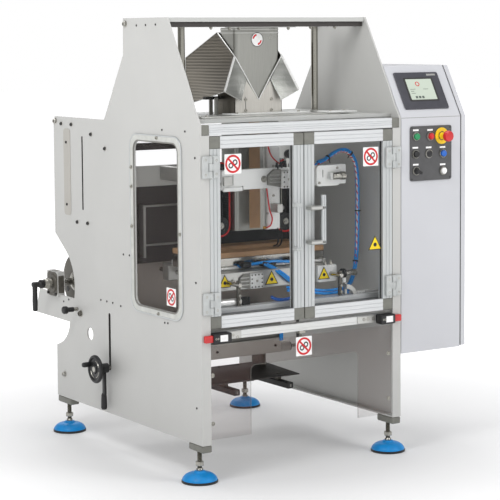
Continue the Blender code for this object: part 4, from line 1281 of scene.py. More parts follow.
# ---- forming set ------------------------------------------------------------------------------
@dataclass
class FormingSet:
    """The forming tube, and the shoulder that folds flat film round it."""

    centre: float = 0.4
    half: float = 0.0955
    near_y: float = 0.2705
    far_y: float = 0.3795
    deck_z: float = 1.1703
    fold_z: float = 1.368
    crest_z: float = 1.45
    vee_z: float = 1.222

    def at(self, sign: int, x: float, y: float, z: float) -> Triple:
        """A point given by its distance from the middle plane."""
        return (self.centre + sign * x, y, z)

    def band(self, sign: int, near: float, far: float) -> Pair:
        """Two distances from the middle plane as a rising pair of X."""
        low, high = sorted((self.centre + sign * near, self.centre + sign * far))
        return (low, high)

    def tube(self) -> Piece:
        """The brushed tube, as two rounded outlines joined by a wall, with its tape and a plain badge."""
        outer = rounded((0.3092, 0.4908), (0.2752, 0.3748), 0.0135, 6)
        inner = rounded((0.3122, 0.4878), (0.2782, 0.3718), 0.0105, 6)
        piece = Piece("forming_tube_sheet", "machine", "stainless", stands_for=("forming_tube",))
        piece.add(SATIN_TUBE, slab(outer, inner, Axis.Z, 0.7772, 1.4658, 0.0006))
        piece.add(TEFLON, block((0.363, 0.407), (0.2744, 0.2754), (0.783, 1.15), 0.0003))
        for z in (1.462, 1.45):
            piece.add(ALLOY, slab(drawn_in(outer, -0.0012), outer, Axis.Z, z - 0.004, z, 0.0003))
        a, b = 0.3985, 1.4255
        oval = circle(a, b, 0.0245, 32)
        piece.add(STICKER, pushed(oval, Axis.Y, 0.2742, 0.2752, 0.0002))
        piece.add(BLACK, slab(oval, circle(a, b, 0.0225, 32), Axis.Y, 0.2739, 0.2743))
        for start in (100.0, 280.0):
            arc = arc_band((a, b), (0.019, 0.013), start, start + 70.0)
            piece.add(SIGN_RED, pushed(arc, Axis.Y, 0.2738, 0.2742))
        return piece

    def collar(self) -> Piece:
        """The box round the tube under the fold line, its front V, and the bright lip along the V."""
        piece = Piece("shoulder_collar", "machine", "stainless", stands_for=("forming_shoulder",))
        t = 0.002
        for s in (-1, 1):
            front = [self.at(s, 0.0, self.near_y, self.deck_z), self.at(s, self.half, self.near_y,
                                                                        self.deck_z), self.at(s, self.half,
                                                                                              self.near_y,
                                                                                              1.223),
                     self.at(s, 0.048, self.near_y, 1.286), self.at(s, 0.0, self.near_y, self.vee_z)]
            piece.add(COLLAR, flat_plate(front if s > 0 else front[::-1], t))
            side = [self.at(s, self.half, self.near_y, self.deck_z), self.at(s, self.half, self.far_y,
                                                                             self.deck_z),
                    self.at(s, self.half, self.far_y, self.crest_z), self.at(s, self.half, self.near_y,
                                                                             self.fold_z)]
            # Painted shade: the side plate is a darker copy of the tube's steel, standing for the shade under
            # the wing.
            piece.add(SHADED_TUBE_SIDE, flat_plate(side if s > 0 else side[::-1], t))
            lip = np.array([self.at(s, 0.001, self.near_y - 0.0006, self.vee_z + 0.001),
                            self.at(s, self.half - 0.002, self.near_y - 0.0006, self.fold_z),
                            self.at(s, self.half + 0.0006, self.near_y + 0.004, self.fold_z + 0.006),
                            self.at(s, self.half + 0.0006, self.far_y - 0.004, self.crest_z - 0.002)])
            piece.add(BRIGHT_LIP, hose(polyline(lip, 22), 0.0021, 8))
            for z in (1.223, 1.186):
                x = self.centre + s * 0.052
                piece.add(ZINC, socket_head(Axis.Y, (x, self.near_y - 0.0002, z), 0.0052, 0.0036))
            piece.add(ALLOY, block(self.band(s, 0.085, 0.125), (0.262, 0.345),
                                   (self.deck_z, self.deck_z + 0.003), 0.0008))
        back = [self.at(-1, self.half, self.far_y, self.deck_z), self.at(1, self.half, self.far_y,
                                                                         self.deck_z), self.at(1, self.half,
                                                                                               self.far_y,
                                                                                               self.crest_z),
                self.at(-1, self.half, self.far_y, self.crest_z)]
        # Painted shade: the back plate is a darker copy of the tube's steel, standing for the shade under the
        # back slope.
        piece.add(SHADED_TUBE_SIDE, flat_plate(back[::-1], t))
        # Painted shadow: a thin grey line on the collar's front standing for the shade in a groove.
        piece.add(GROOVE_SHADE, block((0.347, 0.3482), (self.near_y - 0.0012, self.near_y), (1.178, 1.232), 0.0002))
        return piece

    def wings(self) -> Piece:
        """The sheets that turn the film: ribbed side wings, patterned front wings, and the back slope."""
        piece = Piece("shoulder_wings", "machine", "stainless")
        t = 0.0016
        for s in (-1, 1):
            fold = self.at(s, self.half, self.near_y, self.fold_z)
            crest = self.at(s, self.half, self.far_y, self.crest_z)
            vee = self.at(s, 0.049, self.near_y, 1.288)
            tip = self.at(s, 0.08, 0.254, 1.219)
            elbow = self.at(s, 0.15, 0.248, 1.252)
            corner = self.at(s, 0.155, 0.491, 1.3635)
            edge = self.at(s, 0.155, 0.491, 1.3135)
            skirt = self.at(s, 0.135, 0.472, 1.211)
            front = [vee, tip, elbow, fold]
            if s > 0:
                front = front[::-1]
            piece.add(DIMPLED, bent_sheet(np.array(front), t, 8, 8, 0.004))
            piece.add(BRIGHT_LIP, hose(np.linspace(fold, elbow, 8), 0.004, 8))
            piece.add(ALLOY, hose(np.linspace(elbow, tip, 8), 0.0018, 8))
            for four in ([fold, elbow, skirt, edge], [fold, edge, corner, crest]):
                piece.add(RIBBED, bent_sheet(np.array(four if s > 0 else four[::-1]), t, 6, 6, 0.0))
            rim = np.array([elbow, skirt, edge, corner, crest])
            piece.add(ALLOY, hose(polyline(rim, 25), 0.0015, 6))
            tail = self.at(s, 0.15, 0.55, 1.24)
            mid = self.at(s, 0.0, 0.55, 1.24)
            top = self.at(s, 0.0, self.far_y, self.crest_z)
            slope = [crest, corner, tail]
            piece.add(RIBBED, flat_plate(slope if s > 0 else slope[::-1], t))
            piece.add(DIMPLED, bent_sheet(np.array([crest, tail, mid, top] if s > 0 else [top, mid, tail,
                                                                                          crest]), t, 6, 6))
            piece.add(SATIN_BLACK, block(self.band(s, 0.1, 0.158), (0.355, 0.376), (1.223, 1.233), 0.001))
            for y in (0.34, 0.374):
                piece.add(ALLOY,
                          block(self.band(s, 0.118, 0.132), (y, y + 0.006), (self.deck_z, 1.23), 0.0008))
        return piece

    def build(self) -> None:
        """Makes the tube and the shoulder."""
        for piece in (self.tube(), self.collar(), self.wings()):
            piece.place()


# ---- film drive and sealing -------------------------------------------------------------------
def bolted_plate(x: Pair, z: Pair, front: float, depth: float, per_edge: int = 4) -> list[tuple[Shape,
                                                                                                Finish]]:
    """A white block with a row of small screws along each edge and one in its middle."""
    parts = [(block(x, (front, front + depth), z, 0.0035, 3), WHITE_PLATE)]
    xs = np.linspace(x[0] + 0.006, x[1] - 0.006, per_edge)
    zs = np.linspace(z[0] + 0.006, z[1] - 0.006, per_edge)
    spots = [(float(a), zs[0]) for a in xs] + [(float(a), zs[-1]) for a in xs]
    spots += [(xs[0], float(b)) for b in zs[1:-1]] + [(xs[-1], float(b)) for b in zs[1:-1]]
    heads = [socket_head(Axis.Y, (float(a), front, float(b)), 0.0026, 0.0012) for a, b in spots]
    parts.append((many(heads), SATIN_BLACK))
    middle = (sum(x) / 2, front, sum(z) / 2)
    parts.append((socket_head(Axis.Y, middle, 0.0042, 0.002), ZINC))
    return parts


@dataclass
class BeltBeam:
    """The white cross beam in front of the tube, with the plates, screws and knob bolted to it."""

    x: Pair = (0.15, 0.65)
    y: Pair = (0.11, 0.128)
    z: Pair = (0.93, 1.002)

    def beam(self) -> Piece:
        """The beam with its lower ledge, end arms, step lines and the pivot screw."""
        piece = Piece("belt_beam", "machine", "white_part", stands_for=("belt_cross_beam",))
        outline = rounded((self.x[0], self.x[1]), (self.z[0] + 0.004, self.z[1] - 0.001), 0.006, 3)
        piece.add(WHITE_PLATE, pushed(outline, Axis.Y, self.y[0] + 0.0004, self.y[1], 0.001))
        for x in (0.199, 0.601):
            piece.add(ALLOY_Y, block(about(x, 0.0118), (0.1272, 0.577), (0.9402, 0.988), 0.002, 2))
        piece.add(STEEL, lathed([(0.0109, 0.005), (0.1505, 0.005)], Axis.X, (0, 0.121, 0.956), 16))
        piece.add(WHITE_PLATE, block((0.152, 0.226), (0.103, 0.1106), (0.931, 0.944), 0.001))
        piece.add(ALLOY, block((0.154, 0.188), (0.104, 0.1106), (0.95, 0.98), 0.001))
        piece.add(SATIN_BLACK, block((0.192, 0.1932), (0.109, 0.1106), (0.95, 0.985), 0.0002),
                  block((0.227, 0.23), (0.106, 0.1106), (0.934, 0.946), 0.0003))
        piece.add(ZINC,
                  lathed([(0.1102, 0.011), (0.1075, 0.011), (0.1062, 0.01)], Axis.Y, (0.314, 0, 0.965), 24),
                  socket_head(Axis.Y, (0.314, 0.1064, 0.965), 0.0072, 0.006))
        wedge = np.array([(0.325, 0.945), (0.373, 0.936), (0.373, 0.996), (0.348, 0.996), (0.325, 0.978)])
        piece.add(HOUSING, pushed(wedge, Axis.Y, 0.096, 0.1104, 0.001))
        for z in (0.952, 0.964, 0.976):
            piece.add(ALLOY, block((0.33, 0.372), (0.095, 0.0968), (z, z + 0.004), 0.0006))
        piece.parts += bolted_plate((0.3745, 0.4235), (0.9315, 0.9915), 0.088, 0.0222)
        return piece

    def bracket(self) -> Piece:
        """The right-hand bracket with its slot and the shaft that ends in a turned cap."""
        piece = Piece("belt_bracket", "machine", "white_part")
        piece.add(WHITE_PLATE,
                  pushed(rounded((0.519, 0.616), (0.93, 1.001), 0.012, 4), Axis.Y, 0.0985, 0.1104, 0.001))
        piece.add(SATIN_BLACK, block((0.544, 0.5458), (0.0975, 0.0992), (0.96, 0.986), 0.0003))
        piece.add(ZINC, lathed([(0.574, 0.0122), (0.608, 0.0122), (0.609, 0.0142), (0.624, 0.0142),
                                (0.626, 0.0125), (0.626, 0.007), (0.6245, 0.0065)], Axis.X, (0, 0.085, 0.964),
                               28))
        piece.add(WHITE_PLATE, block((0.566, 0.58), (0.08, 0.0992), (0.952, 0.976), 0.002))
        for x, z in ((0.53, 0.942), (0.604, 0.99)):
            piece.add(ZINC, socket_head(Axis.Y, (x, 0.0985, z), 0.0045, 0.0035))
        return piece

    def wiring(self) -> Piece:
        """The clamp knob, fittings and the two red heater leads that run down the sealing bar."""
        piece = Piece("beam_wiring", "machine", "black_plastic")
        piece.add(BLACK, lathed([(0.118, 0.012), (0.112, 0.015), (0.1, 0.015), (0.095, 0.011)], Axis.Y,
                                (0.412, 0, 1.045), 20))
        piece.add(ALLOY, block((0.405, 0.419), (0.112, 0.128), (1.0, 1.05), 0.002))
        for x, z in ((0.37, 1.006), (0.386, 1.008), (0.402, 1.01), (0.418, 1.009)):
            piece.add(BLACK, lathed([(0.0, 0.0065), (0.012, 0.0065), (0.014, 0.0045), (0.022, 0.0045)],
                                    Axis.Z, (x, 0.116, z - 0.01), 14))
        upper = eased([(0.3795, 0.184, 1.105), (0.38, 0.183, 1.069), (0.385, 0.17, 1.035),
                       (0.398, 0.14, 1.011), (0.42, 0.11, 1.005), (0.436, 0.106, 1.003)])
        piece.add(RED_CORE, hose(upper, 0.0024, 8))
        lower = eased([(0.373, 0.183, 0.926), (0.375, 0.178, 0.89), (0.38, 0.176, 0.853),
                       (0.39, 0.176, 0.825), (0.386, 0.18, 0.801), (0.372, 0.186, 0.792)])
        piece.add(RED_CORE, hose(lower, 0.0024, 8))
        for s, reach in ((0, 0.0), (1, 0.014)):
            black = eased([(0.42 + reach, 0.19, 0.79), (0.432 + reach, 0.2, 0.76), (0.44 + reach, 0.22, 0.73),
                           (0.452 + reach, 0.26, 0.718 - 0.004 * s)])
            piece.add(BLACK, hose(black, 0.003, 8))
        blue = eased([(0.43, 0.112, 1.006), (0.46, 0.11, 1.002), (0.49, 0.112, 0.999), (0.52, 0.116, 1.001),
                      (0.56, 0.15, 1.006)])
        piece.add(HOSE_BLUE, hose(blue, 0.004, 8))
        piece.add(RED_CORE, hose(beside(blue, 0.006, 3.0), 0.0026, 6))
        return piece

    def build(self) -> None:
        """Makes the beam's pieces."""
        for piece in (self.beam(), self.bracket(), self.wiring()):
            piece.place()


@dataclass
class PullBelt:
    """One pull belt: a belt, red along its front rim and black behind it, round two black pulleys on an alloy
    spine.
    """

    side: str
    sign: int
    tube_x: Pair = (0.309, 0.491)
    radius: float = 0.038
    z: Pair = (0.795, 0.975)
    y: Pair = (0.304, 0.346)

    @property
    def x(self) -> float:
        """The pulleys' middle plane."""
        return self.tube_x[0] - 0.0415 if self.sign < 0 else self.tube_x[1] + 0.0415

    def loop(self, radius: float, steps: int = 14) -> Array:
        """A belt's line: two half circles, one about each pulley, with straight runs between."""
        turn = np.linspace(0, math.pi, steps)
        top = np.stack([self.x + radius * np.cos(turn), self.z[1] + radius * np.sin(turn)], axis=-1)
        bottom = np.stack([self.x - radius * np.cos(turn), self.z[0] - radius * np.sin(turn)], axis=-1)
        return np.vstack([top, bottom])

    def build(self) -> None:
        """Makes the belt unit and its lower pulley."""
        (y0, y1), (z0, z1), x, r = self.y, self.z, self.x, self.radius
        unit = Piece(f"{self.side}_belt_unit", f"{self.side}_belt_unit", "belt_red",
                     stands_for=(f"{self.side}_pull_belt",))
        rim = y0 + 0.006
        # The belt is red only along its front 6 mm; the rest of its face is black.
        unit.add(RED_BELT, slab(self.loop(r), self.loop(r - 0.0055), Axis.Y, y0, rim, 0.0008))
        unit.add(SATIN_BLACK, slab(self.loop(r - 0.0002), self.loop(r - 0.0055), Axis.Y, rim, y1, 0.0008))
        teeth = np.linspace(z0 + 0.006, z1 - 0.006, 22)
        for edge in (-1, 1):
            row = x + edge * (r - 0.0068)
            unit.add(SATIN_BLACK, many(block(about(row, 0.0014), (y0 + 0.002, y1 - 0.002), about(z, 0.002),
                                             0.0004) for z in teeth.tolist()))
        upper = [(y0 - 0.003, 0.01), (y0 - 0.003, 0.027), (y0 + 0.001, 0.0322), (0.3525, 0.0322)]
        unit.add(BLACK, lathed(upper, Axis.Y, (x, 0, z1), 32))
        unit.add(ZINC,
                 lathed([(y0 - 0.0036, 0.009), (y0 - 0.002, 0.01), (0.353, 0.01)], Axis.Y, (x, 0, z1), 24))
        unit.add(ALLOY, block(about(x, 0.0118), (0.3522, 0.3658), (z0 - 0.0198, z1 + 0.0198), 0.002, 2))
        inner, outer = x + self.sign * 0.011, x + self.sign * 0.0343
        unit.add(ALLOY,
                 block((min(inner, outer), max(inner, outer)), (0.3522, 0.3658), (0.9452, 0.9868), 0.002, 2))
        for dx in (-0.0055, 0.0055):
            unit.add(STEEL_Z,
                     lathed([(0.838, 0.0035), (0.938, 0.0035)], Axis.Z, (x + dx * 1.6, 0.345, 0), 12))
        unit.add(ALLOY, block(about(x, 0.015), (0.334, 0.356), (0.832, 0.846), 0.0015))
        unit.add(STEEL, lathed([(y0 - 0.0038, 0.0052), (0.3528, 0.0058)], Axis.Y, (x, 0, z0), 16))
        unit.place()
        wheel = Piece(f"{self.side}_lower_pulley", f"{self.side}_pulley", "black_plastic",
                      stands_for=(f"{self.side}_belt_pulley",))
        ring = [(y0 + 0.0004, r - 0.008), (y0 + 0.002, r - 0.0066),
                (y1 - 0.0014, r - 0.0066)]
        wheel.add(BLACK, lathed(ring, Axis.Y, (x, 0, z0), 36))
        wheel.add(ZINC, lathed([(y0 - 0.0012, 0.008), (y0 - 0.0012, 0.0105), (y0 + 0.001, 0.012)], Axis.Y,
                               (x, 0, z0), 24))
        for turn in range(0, 360, 60):
            a = math.radians(turn)
            spot = (x + 0.0215 * math.cos(a), y0 + 0.0006, z0 + 0.0215 * math.sin(a))
            wheel.add(SATIN_BLACK, lathed([(0, 0.0042), (-0.0008, 0.0038)], Axis.Y, spot, 12))
        wheel.place()


@dataclass
class SealBar:
    """The upright sealing bar in front of the tube: heated bar, tape, heater and sensor."""

    x: Pair = (0.376, 0.43)
    y: Pair = (0.188, 0.216)
    z: Pair = (0.786, 1.108)

    def build(self) -> None:
        """Makes the bar."""
        piece = Piece("seal_bar_block", "seal_bar", "white_part", stands_for=("vertical_seal_bar",))
        piece.add(WHITE_PLATE, block((self.x[0] + 0.0002, self.x[1] - 0.0002), (self.y[0] + 0.0002, 0.208),
                                     self.z, 0.0015, 2))
        piece.add(ALLOY,
                  block((0.395, 0.411), (0.2076, 0.215), (self.z[0] + 0.004, self.z[1] - 0.004), 0.001))
        piece.add(TEFLON,
                  block((0.394, 0.412), (0.2146, 0.216), (self.z[0] + 0.001, self.z[1] - 0.001), 0.0004))
        piece.add(ALLOY_Y, block((0.3922, 0.4138), (0.1457, 0.1884), (0.8452, 0.8748), 0.0015))
        piece.add(ALLOY, block((self.x[0], 0.38), (self.y[0] - 0.0002, 0.2),
                               (self.z[0] + 0.002, self.z[1] - 0.002), 0.0006))
        for z in (0.9, 1.0, 1.09):
            piece.add(ZINC, socket_head(Axis.Y, (0.403, self.y[0] + 0.0003, z), 0.0045, 0.0038))
        piece.add(SATIN_BLACK, lathed([(0, 0.004), (-0.0006, 0.0036), (0.0004, 0.003)], Axis.Y,
                                      (0.379, self.y[0], 0.841), 14))
        piece.add(AMBER, lathed([(0.004, 0.0045), (-0.01, 0.0045), (-0.012, 0.003)], Axis.X,
                                (0.378, 0.195, 0.7925), 12))
        piece.place()


@dataclass
class Jaws:
    """The two horizontal sealing jaws, the fittings on the front one, and the guides they run on."""

    plane_y: float = 0.325
    x: Pair = (0.155, 0.625)
    rods_x: Pair = (0.19, 0.6)
    rod_z: float = 0.625

    def ways(self, body: str, name: str, sign: int) -> Piece:
        """One jaw: lower carrier, upper heated bar with its tape, bright roller bar and end brackets.

        Args:
            body: the moving body it rides on.
            name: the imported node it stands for.
            sign: +1 for the jaw whose carrier is in front, and -1 for the other.

        Returns:
            The jaw's piece.
        """
        def deep(near: float, far: float) -> Pair:
            first, second = self.plane_y - sign * near, self.plane_y - sign * far
            return (min(first, second), max(first, second))

        piece = Piece(f"{name}_bars", body, "jaw_alloy", stands_for=(name,))
        piece.add(ALLOY, block(self.x, deep(0.1848, 0.1452), (0.5983, 0.6577), 0.002, 2),
                  block(self.x, deep(0.146, 0.1182), (0.6502, 0.6577), 0.001))
        piece.add(STEEL, block(self.x, deep(0.1178, 0.042), (0.6502, 0.698), 0.002, 2))
        piece.add(TEFLON, block(self.x, deep(0.117, 0.0425), (0.6975, 0.715), 0.001),
                  block((self.x[0] + 0.02, self.x[1] - 0.02), deep(0.0425, 0.0402), (0.656, 0.712), 0.0006))
        at = self.plane_y - sign * 0.129
        piece.add(BRIGHT_LIP, lathed([(self.x[0] + 0.006, 0.0058), (self.x[1] - 0.006, 0.0058)], Axis.X,
                                     (0, at, 0.664), 16))
        for x in (self.x[0] + 0.014, self.x[1] - 0.014):
            piece.add(ALLOY, block(about(x, 0.006), deep(0.14, 0.118), (0.656, 0.672), 0.001))
        return piece

    def front_fittings(self) -> Piece:
        """What is bolted to the front jaw: a screwed cover, wedge, signs and end bracket."""
        front = 0.14
        piece = Piece("front_jaw_fittings", "jaw_front", "white_part")
        piece.parts += bolted_plate((0.2705, 0.3225), (0.599, 0.651), front - 0.012, 0.013)
        wedge = np.array([(0.23, 0.608), (0.27, 0.6), (0.27, 0.65), (0.248, 0.65), (0.23, 0.638)])
        piece.add(HOUSING, pushed(wedge, Axis.Y, front - 0.008, front + 0.001, 0.001))
        for z in (0.612, 0.624, 0.636):
            piece.add(ALLOY, block((0.233, 0.27), (front - 0.0092, front - 0.0076), (z, z + 0.0035), 0.0005))
        piece.add(ZINC, socket_head(Axis.Y, (0.208, front, 0.629), 0.0062, 0.005))
        piece.parts += care_sign((0.176, front - 0.0004, 0.654), Axis.Y, 0.05)
        piece.parts += care_sign((0.362, front - 0.0004, 0.654), Axis.Y, 0.054)
        piece.parts += care_sign((0.57, front - 0.0104, 0.652), Axis.Y, 0.05)
        piece.add(WHITE_PLATE, pushed(rounded((0.545, 0.624), (0.5985, 0.656), 0.006, 3), Axis.Y,
                                      front - 0.01, front + 0.0004, 0.001))
        return piece

    def spindle(self) -> Piece:
        """The adjusting spindle beside the front jaw, its black ring and the curved bracket under it."""
        piece = Piece("jaw_spindle", "machine", "polished")
        y = 0.108
        piece.add(STEEL, lathed([(0.629, 0.0095), (0.675, 0.0095), (0.676, 0.0115), (0.688, 0.0115),
                                 (0.6895, 0.01), (0.6895, 0.0055), (0.688, 0.005)], Axis.X, (0, y, 0.626),
                                24))
        piece.add(BLACK, lathed([(0.627, 0.014), (0.629, 0.0165), (0.639, 0.0165), (0.641, 0.014)], Axis.X,
                                (0, y, 0.626), 28))
        piece.add(WHITE_PLATE, block((0.6275, 0.642), (y - 0.01, y + 0.02), (0.59, 0.612), 0.002))
        piece.add(ALLOY, block((0.628, 0.638), (0.088, 0.1), (0.544, 0.596), 0.0015))
        curve = arc_band((0.626, 0.546), (0.046, 0.03), 0.0, 90.0)
        piece.add(ALLOY, pushed(curve, Axis.Y, 0.074, 0.086, 0.001))
        piece.add(BRIGHT_LIP, lathed([(0.676, 0.005), (0.79, 0.005)], Axis.X, (0, 0.085, 0.56), 12))
        for x in (0.566, 0.59):
            piece.add(ZINC, hex_nut(Axis.Z, (x, 0.118, 0.658), 0.0065, 0.01, 1))
        return piece

    def guides(self) -> Piece:
        """The cross rails, their posts and the two ground rods."""
        piece = Piece("jaw_guides", "machine", "polished", stands_for=("jaw_guide_frame",))
        piece.add(RAIL_X, block(BETWEEN_PLATES, (0.0622, 0.0998), (0.5202, 0.5558), 0.0015))
        # Painted shadow: a thin grey line along the rail's front standing for the shade in its groove.
        piece.add(GROOVE_SHADE, block((0.03, 0.77), (0.0615, 0.063), (0.536, 0.54), 0.0004))
        piece.add(ALLOY, block(BETWEEN_PLATES, (0.6002, 0.6248), (0.6062, 0.6458), 0.0015))
        for x in self.rods_x:
            piece.add(STEEL, lathed([(0.0664, 0.0068), (0.068, 0.008), (0.608, 0.008), (0.6098, 0.0068)],
                                    Axis.Y, (x, 0, self.rod_z), 20))
            piece.add(IRON, block(about(x, 0.006), (0.0722, 0.0838), (0.5505, 0.64), 0.002, 2))
            for z in (0.57, 0.59):
                piece.add(ZINC, socket_head(Axis.Y, (x, 0.0704, z), 0.0048, 0.004))
        return piece

    def tray(self) -> Piece:
        """What lies on the front rail: a white roller, the rack beside it and a blue hose end."""
        piece = Piece("rail_fittings", "machine", "jaw_alloy")
        piece.add(BRIGHT_LIP, lathed([(0.09, 0.01), (0.092, 0.012), (0.204, 0.012), (0.206, 0.01)], Axis.X,
                                     (0, 0.092, 0.568), 24))
        for x in np.arange(0.212, 0.24, 0.0075).tolist():
            piece.add(BLACK, block((x, x + 0.004), (0.082, 0.098), (0.556, 0.582), 0.0006))
        loop = eased([(0.33, 0.095, 0.572), (0.352, 0.09, 0.562), (0.385, 0.088, 0.56), (0.415, 0.092, 0.566),
                      (0.44, 0.1, 0.578)])
        piece.add(BLUE, hose(loop, 0.0055, 10))
        return piece

    def build(self) -> None:
        """Makes the jaws and their guides."""
        for piece in (self.ways("jaw_front", "front_jaw", 1), self.ways("jaw_rear", "rear_jaw", -1),
                      self.front_fittings(), self.spindle(), self.guides(), self.tray()):
            piece.place()


# ---- under the doors --------------------------------------------------------------------------
@dataclass
class Outfeed:
    """The clear guard under the doors, the chute behind it, and the panel seen through them."""

    guard_x: Pair = (0.0362, 0.7638)
    guard_z: Pair = (0.1422, 0.4478)
    way_x: Pair = (0.19, 0.623)
    way_top: float = 0.371

    def guard(self) -> Piece:
        """The guard, as stations along the doorway's edge, each joined to its fellow on the outline."""
        (x0, x1), (z0, z1), (w0, w1), top = self.guard_x, self.guard_z, self.way_x, self.way_top
        turn, r = np.radians(np.linspace(180, 90, 7)), 0.018
        bend = np.stack([w0 + r + r * np.cos(turn), top - r + r * np.sin(turn)], axis=-1)
        rim = [(x0, top - r), (x0, (top + z1) / 2), (x0, z1 - 0.01), (x0, z1), (x0 + 0.01, z1), (w0, z1),
               (w0 + r, z1)]
        near = np.vstack([[(w0, z0)], bend])
        far = np.vstack([[(x0, z0)], rim])
        swap = np.array([-1, 1])
        inner = np.vstack([near, near[::-1] * swap + np.array([w0 + w1, 0])])
        outer = np.vstack([far, far[::-1] * swap + np.array([x0 + x1, 0])])
        lines = [(outer, 0.0102), (outer, 0.0064), (inner, 0.0064), (inner, 0.0102)]
        grid = np.stack([np.stack([line[:, 0], np.full(len(line), y), line[:, 1]], axis=-1) for line,
                         y in lines], axis=1)
        piece = Piece("outfeed_guard", "machine", "clear", stands_for=("lower_guard",))
        piece.add(GUARD, skin(grid, wrap_columns=True, caps=True))
        edge = np.stack([inner[:, 0], np.full(len(inner), 0.0068), inner[:, 1]], axis=-1)
        piece.add(HOUSING, hose(edge, 0.0007, 6))
        for x, z in ((0.043, 0.352), (0.043, 0.195), (0.7515, 0.352), (0.7515, 0.195)):
            piece.add(ZINC, washer(Axis.Y, (x, 0.0064, z), 0.0078, 0.001),
                      socket_head(Axis.Y, (x, 0.0055, z), 0.0056, 0.0045))
        piece.parts += ban_sign((0.4, 0.0062, 0.412), Axis.Y, 0.064)
        return piece

    def panel(self) -> Piece:
        """The grey cross panel behind the lower beam, with its folded lip and blue valve."""
        piece = Piece("outfeed_panel", "machine", "housing_grey")
        piece.add(GREY_PANEL, block((0.08, 0.6), (0.438, 0.44), (0.311, 0.362), 0.0008),
                  block((0.08, 0.6), (0.438, 0.45), (0.3095, 0.3115), 0.0006))
        piece.add(HOSE_BLUE, block((0.592, 0.608), (0.434, 0.4385), (0.35, 0.38), 0.0015))
        for x in (0.33, 0.575):
            piece.add(SATIN_BLACK, socket_head(Axis.Y, (x, 0.438, 0.335), 0.0048, 0.004))
        return piece

    def chute(self) -> Piece:
        """The discharge plate with its turned-down edge, on two rails hung from the housing."""
        piece = Piece("chute_sheet", "machine", "dark_steel", stands_for=("discharge_chute",))
        low, high, back, rear = 0.2432, 0.2468, 0.2558, 0.2522
        side = np.array([(0.3302, low), (0.3302, high), (0.5748, back), (0.5748, rear)])
        piece.add(DARK_SHEET, pushed(side, Axis.X, 0.2002, 0.6058, 0.0006))
        for x in (0.318, 0.54):
            piece.add(SATIN_BLACK, block(about(x, 0.0118), (0.2902, 0.5698), (0.2062, 0.2278), 0.0025, 2))
            piece.add(HOUSING, block(about(x, 0.003), (0.2895, 0.291), (0.212, 0.222), 0.0006))
            for y in ((0.3602, 0.3798), (0.5302, 0.5598)):
                piece.add(IRON, block(about(x, 0.0078), y, (0.2272, 0.25), 0.0008))
        for x in ((0.2302, 0.2458), (0.5602, 0.5758)):
            piece.add(IRON, block(x, (0.5002, 0.5718), (0.25, 0.3105), 0.0012))
        for x in (0.25, 0.33, 0.41, 0.49, 0.57):
            piece.add(SATIN_BLACK, socket_head(Axis.Z, (x, 0.555, 0.255), 0.0045, 0.003, 1))
        return piece

    def build(self) -> None:
        """Makes the guard, panel and chute."""
        for piece in (self.guard(), self.panel(), self.chute()):
            piece.place()


@dataclass
class Feet:
    """Four levelling feet: blue domed pad on a black ring, steel stem, locknut and threaded block."""

    xs: Pair = (0.0175, 0.7825)
    ys: Pair = (0.049, 0.963)

    def foot(self, end: str, side: str, x: float, y: float) -> Piece:
        """One foot. The dome's radius falls as the square root of what is left of its height."""
        piece = Piece(f"{end}_{side}_foot", "machine", "foot_blue", stands_for=(f"foot_{end}_{side}",))
        centre = (x, y, 0.0)
        piece.add(BLACK, lathed([(0.0002, 0.0575), (0.001, 0.0596), (0.007, 0.0596), (0.0085, 0.0575)],
                                Axis.Z, centre, 48))
        share = np.linspace(0, 1, 12)
        height = 0.0085 + 0.0235 * share
        radius = 0.022 + 0.036 * np.sqrt(1 - share ** 1.6)
        dome = list(zip(height.tolist(), radius.tolist())) + [(0.0345, 0.0195), (0.037, 0.017),
                                                              (0.0378, 0.012)]
        piece.add(FOOT_BLUE, lathed(dome, Axis.Z, centre, 48))
        stem_z = np.linspace(0.037, 0.103, 67)
        thread = 0.0075 + 0.0005 * np.cos(2 * math.pi * (stem_z - 0.037) / 0.002)
        piece.add(STEEL_Z, lathed(list(zip(stem_z.tolist(), thread.tolist())), Axis.Z, centre, 18))
        piece.add(ZINC, lathed([(0.038, 0.011), (0.042, 0.0115), (0.046, 0.009)], Axis.Z, centre, 20),
                  lathed([(0.054, 0.013), (0.0555, 0.0148), (0.0665, 0.0148), (0.068, 0.013)], Axis.Z, centre,
                         6))
        left, front = x < 0.4, y < 0.5
        block_x = (0.0002, 0.0353) if left else (0.7647, 0.7998)
        block_y = (0.0002, 0.0878) if front else (0.9182, 1.0178)
        piece.add(KNOT, block(block_x, block_y, (0.1032, 0.1265), 0.003, 2))
        return piece

    def build(self) -> None:
        """Makes the four feet."""
        for side, x in zip(("left", "right"), self.xs):
            for end, y in zip(("front", "rear"), self.ys):
                self.foot(end, side, x, y).place()


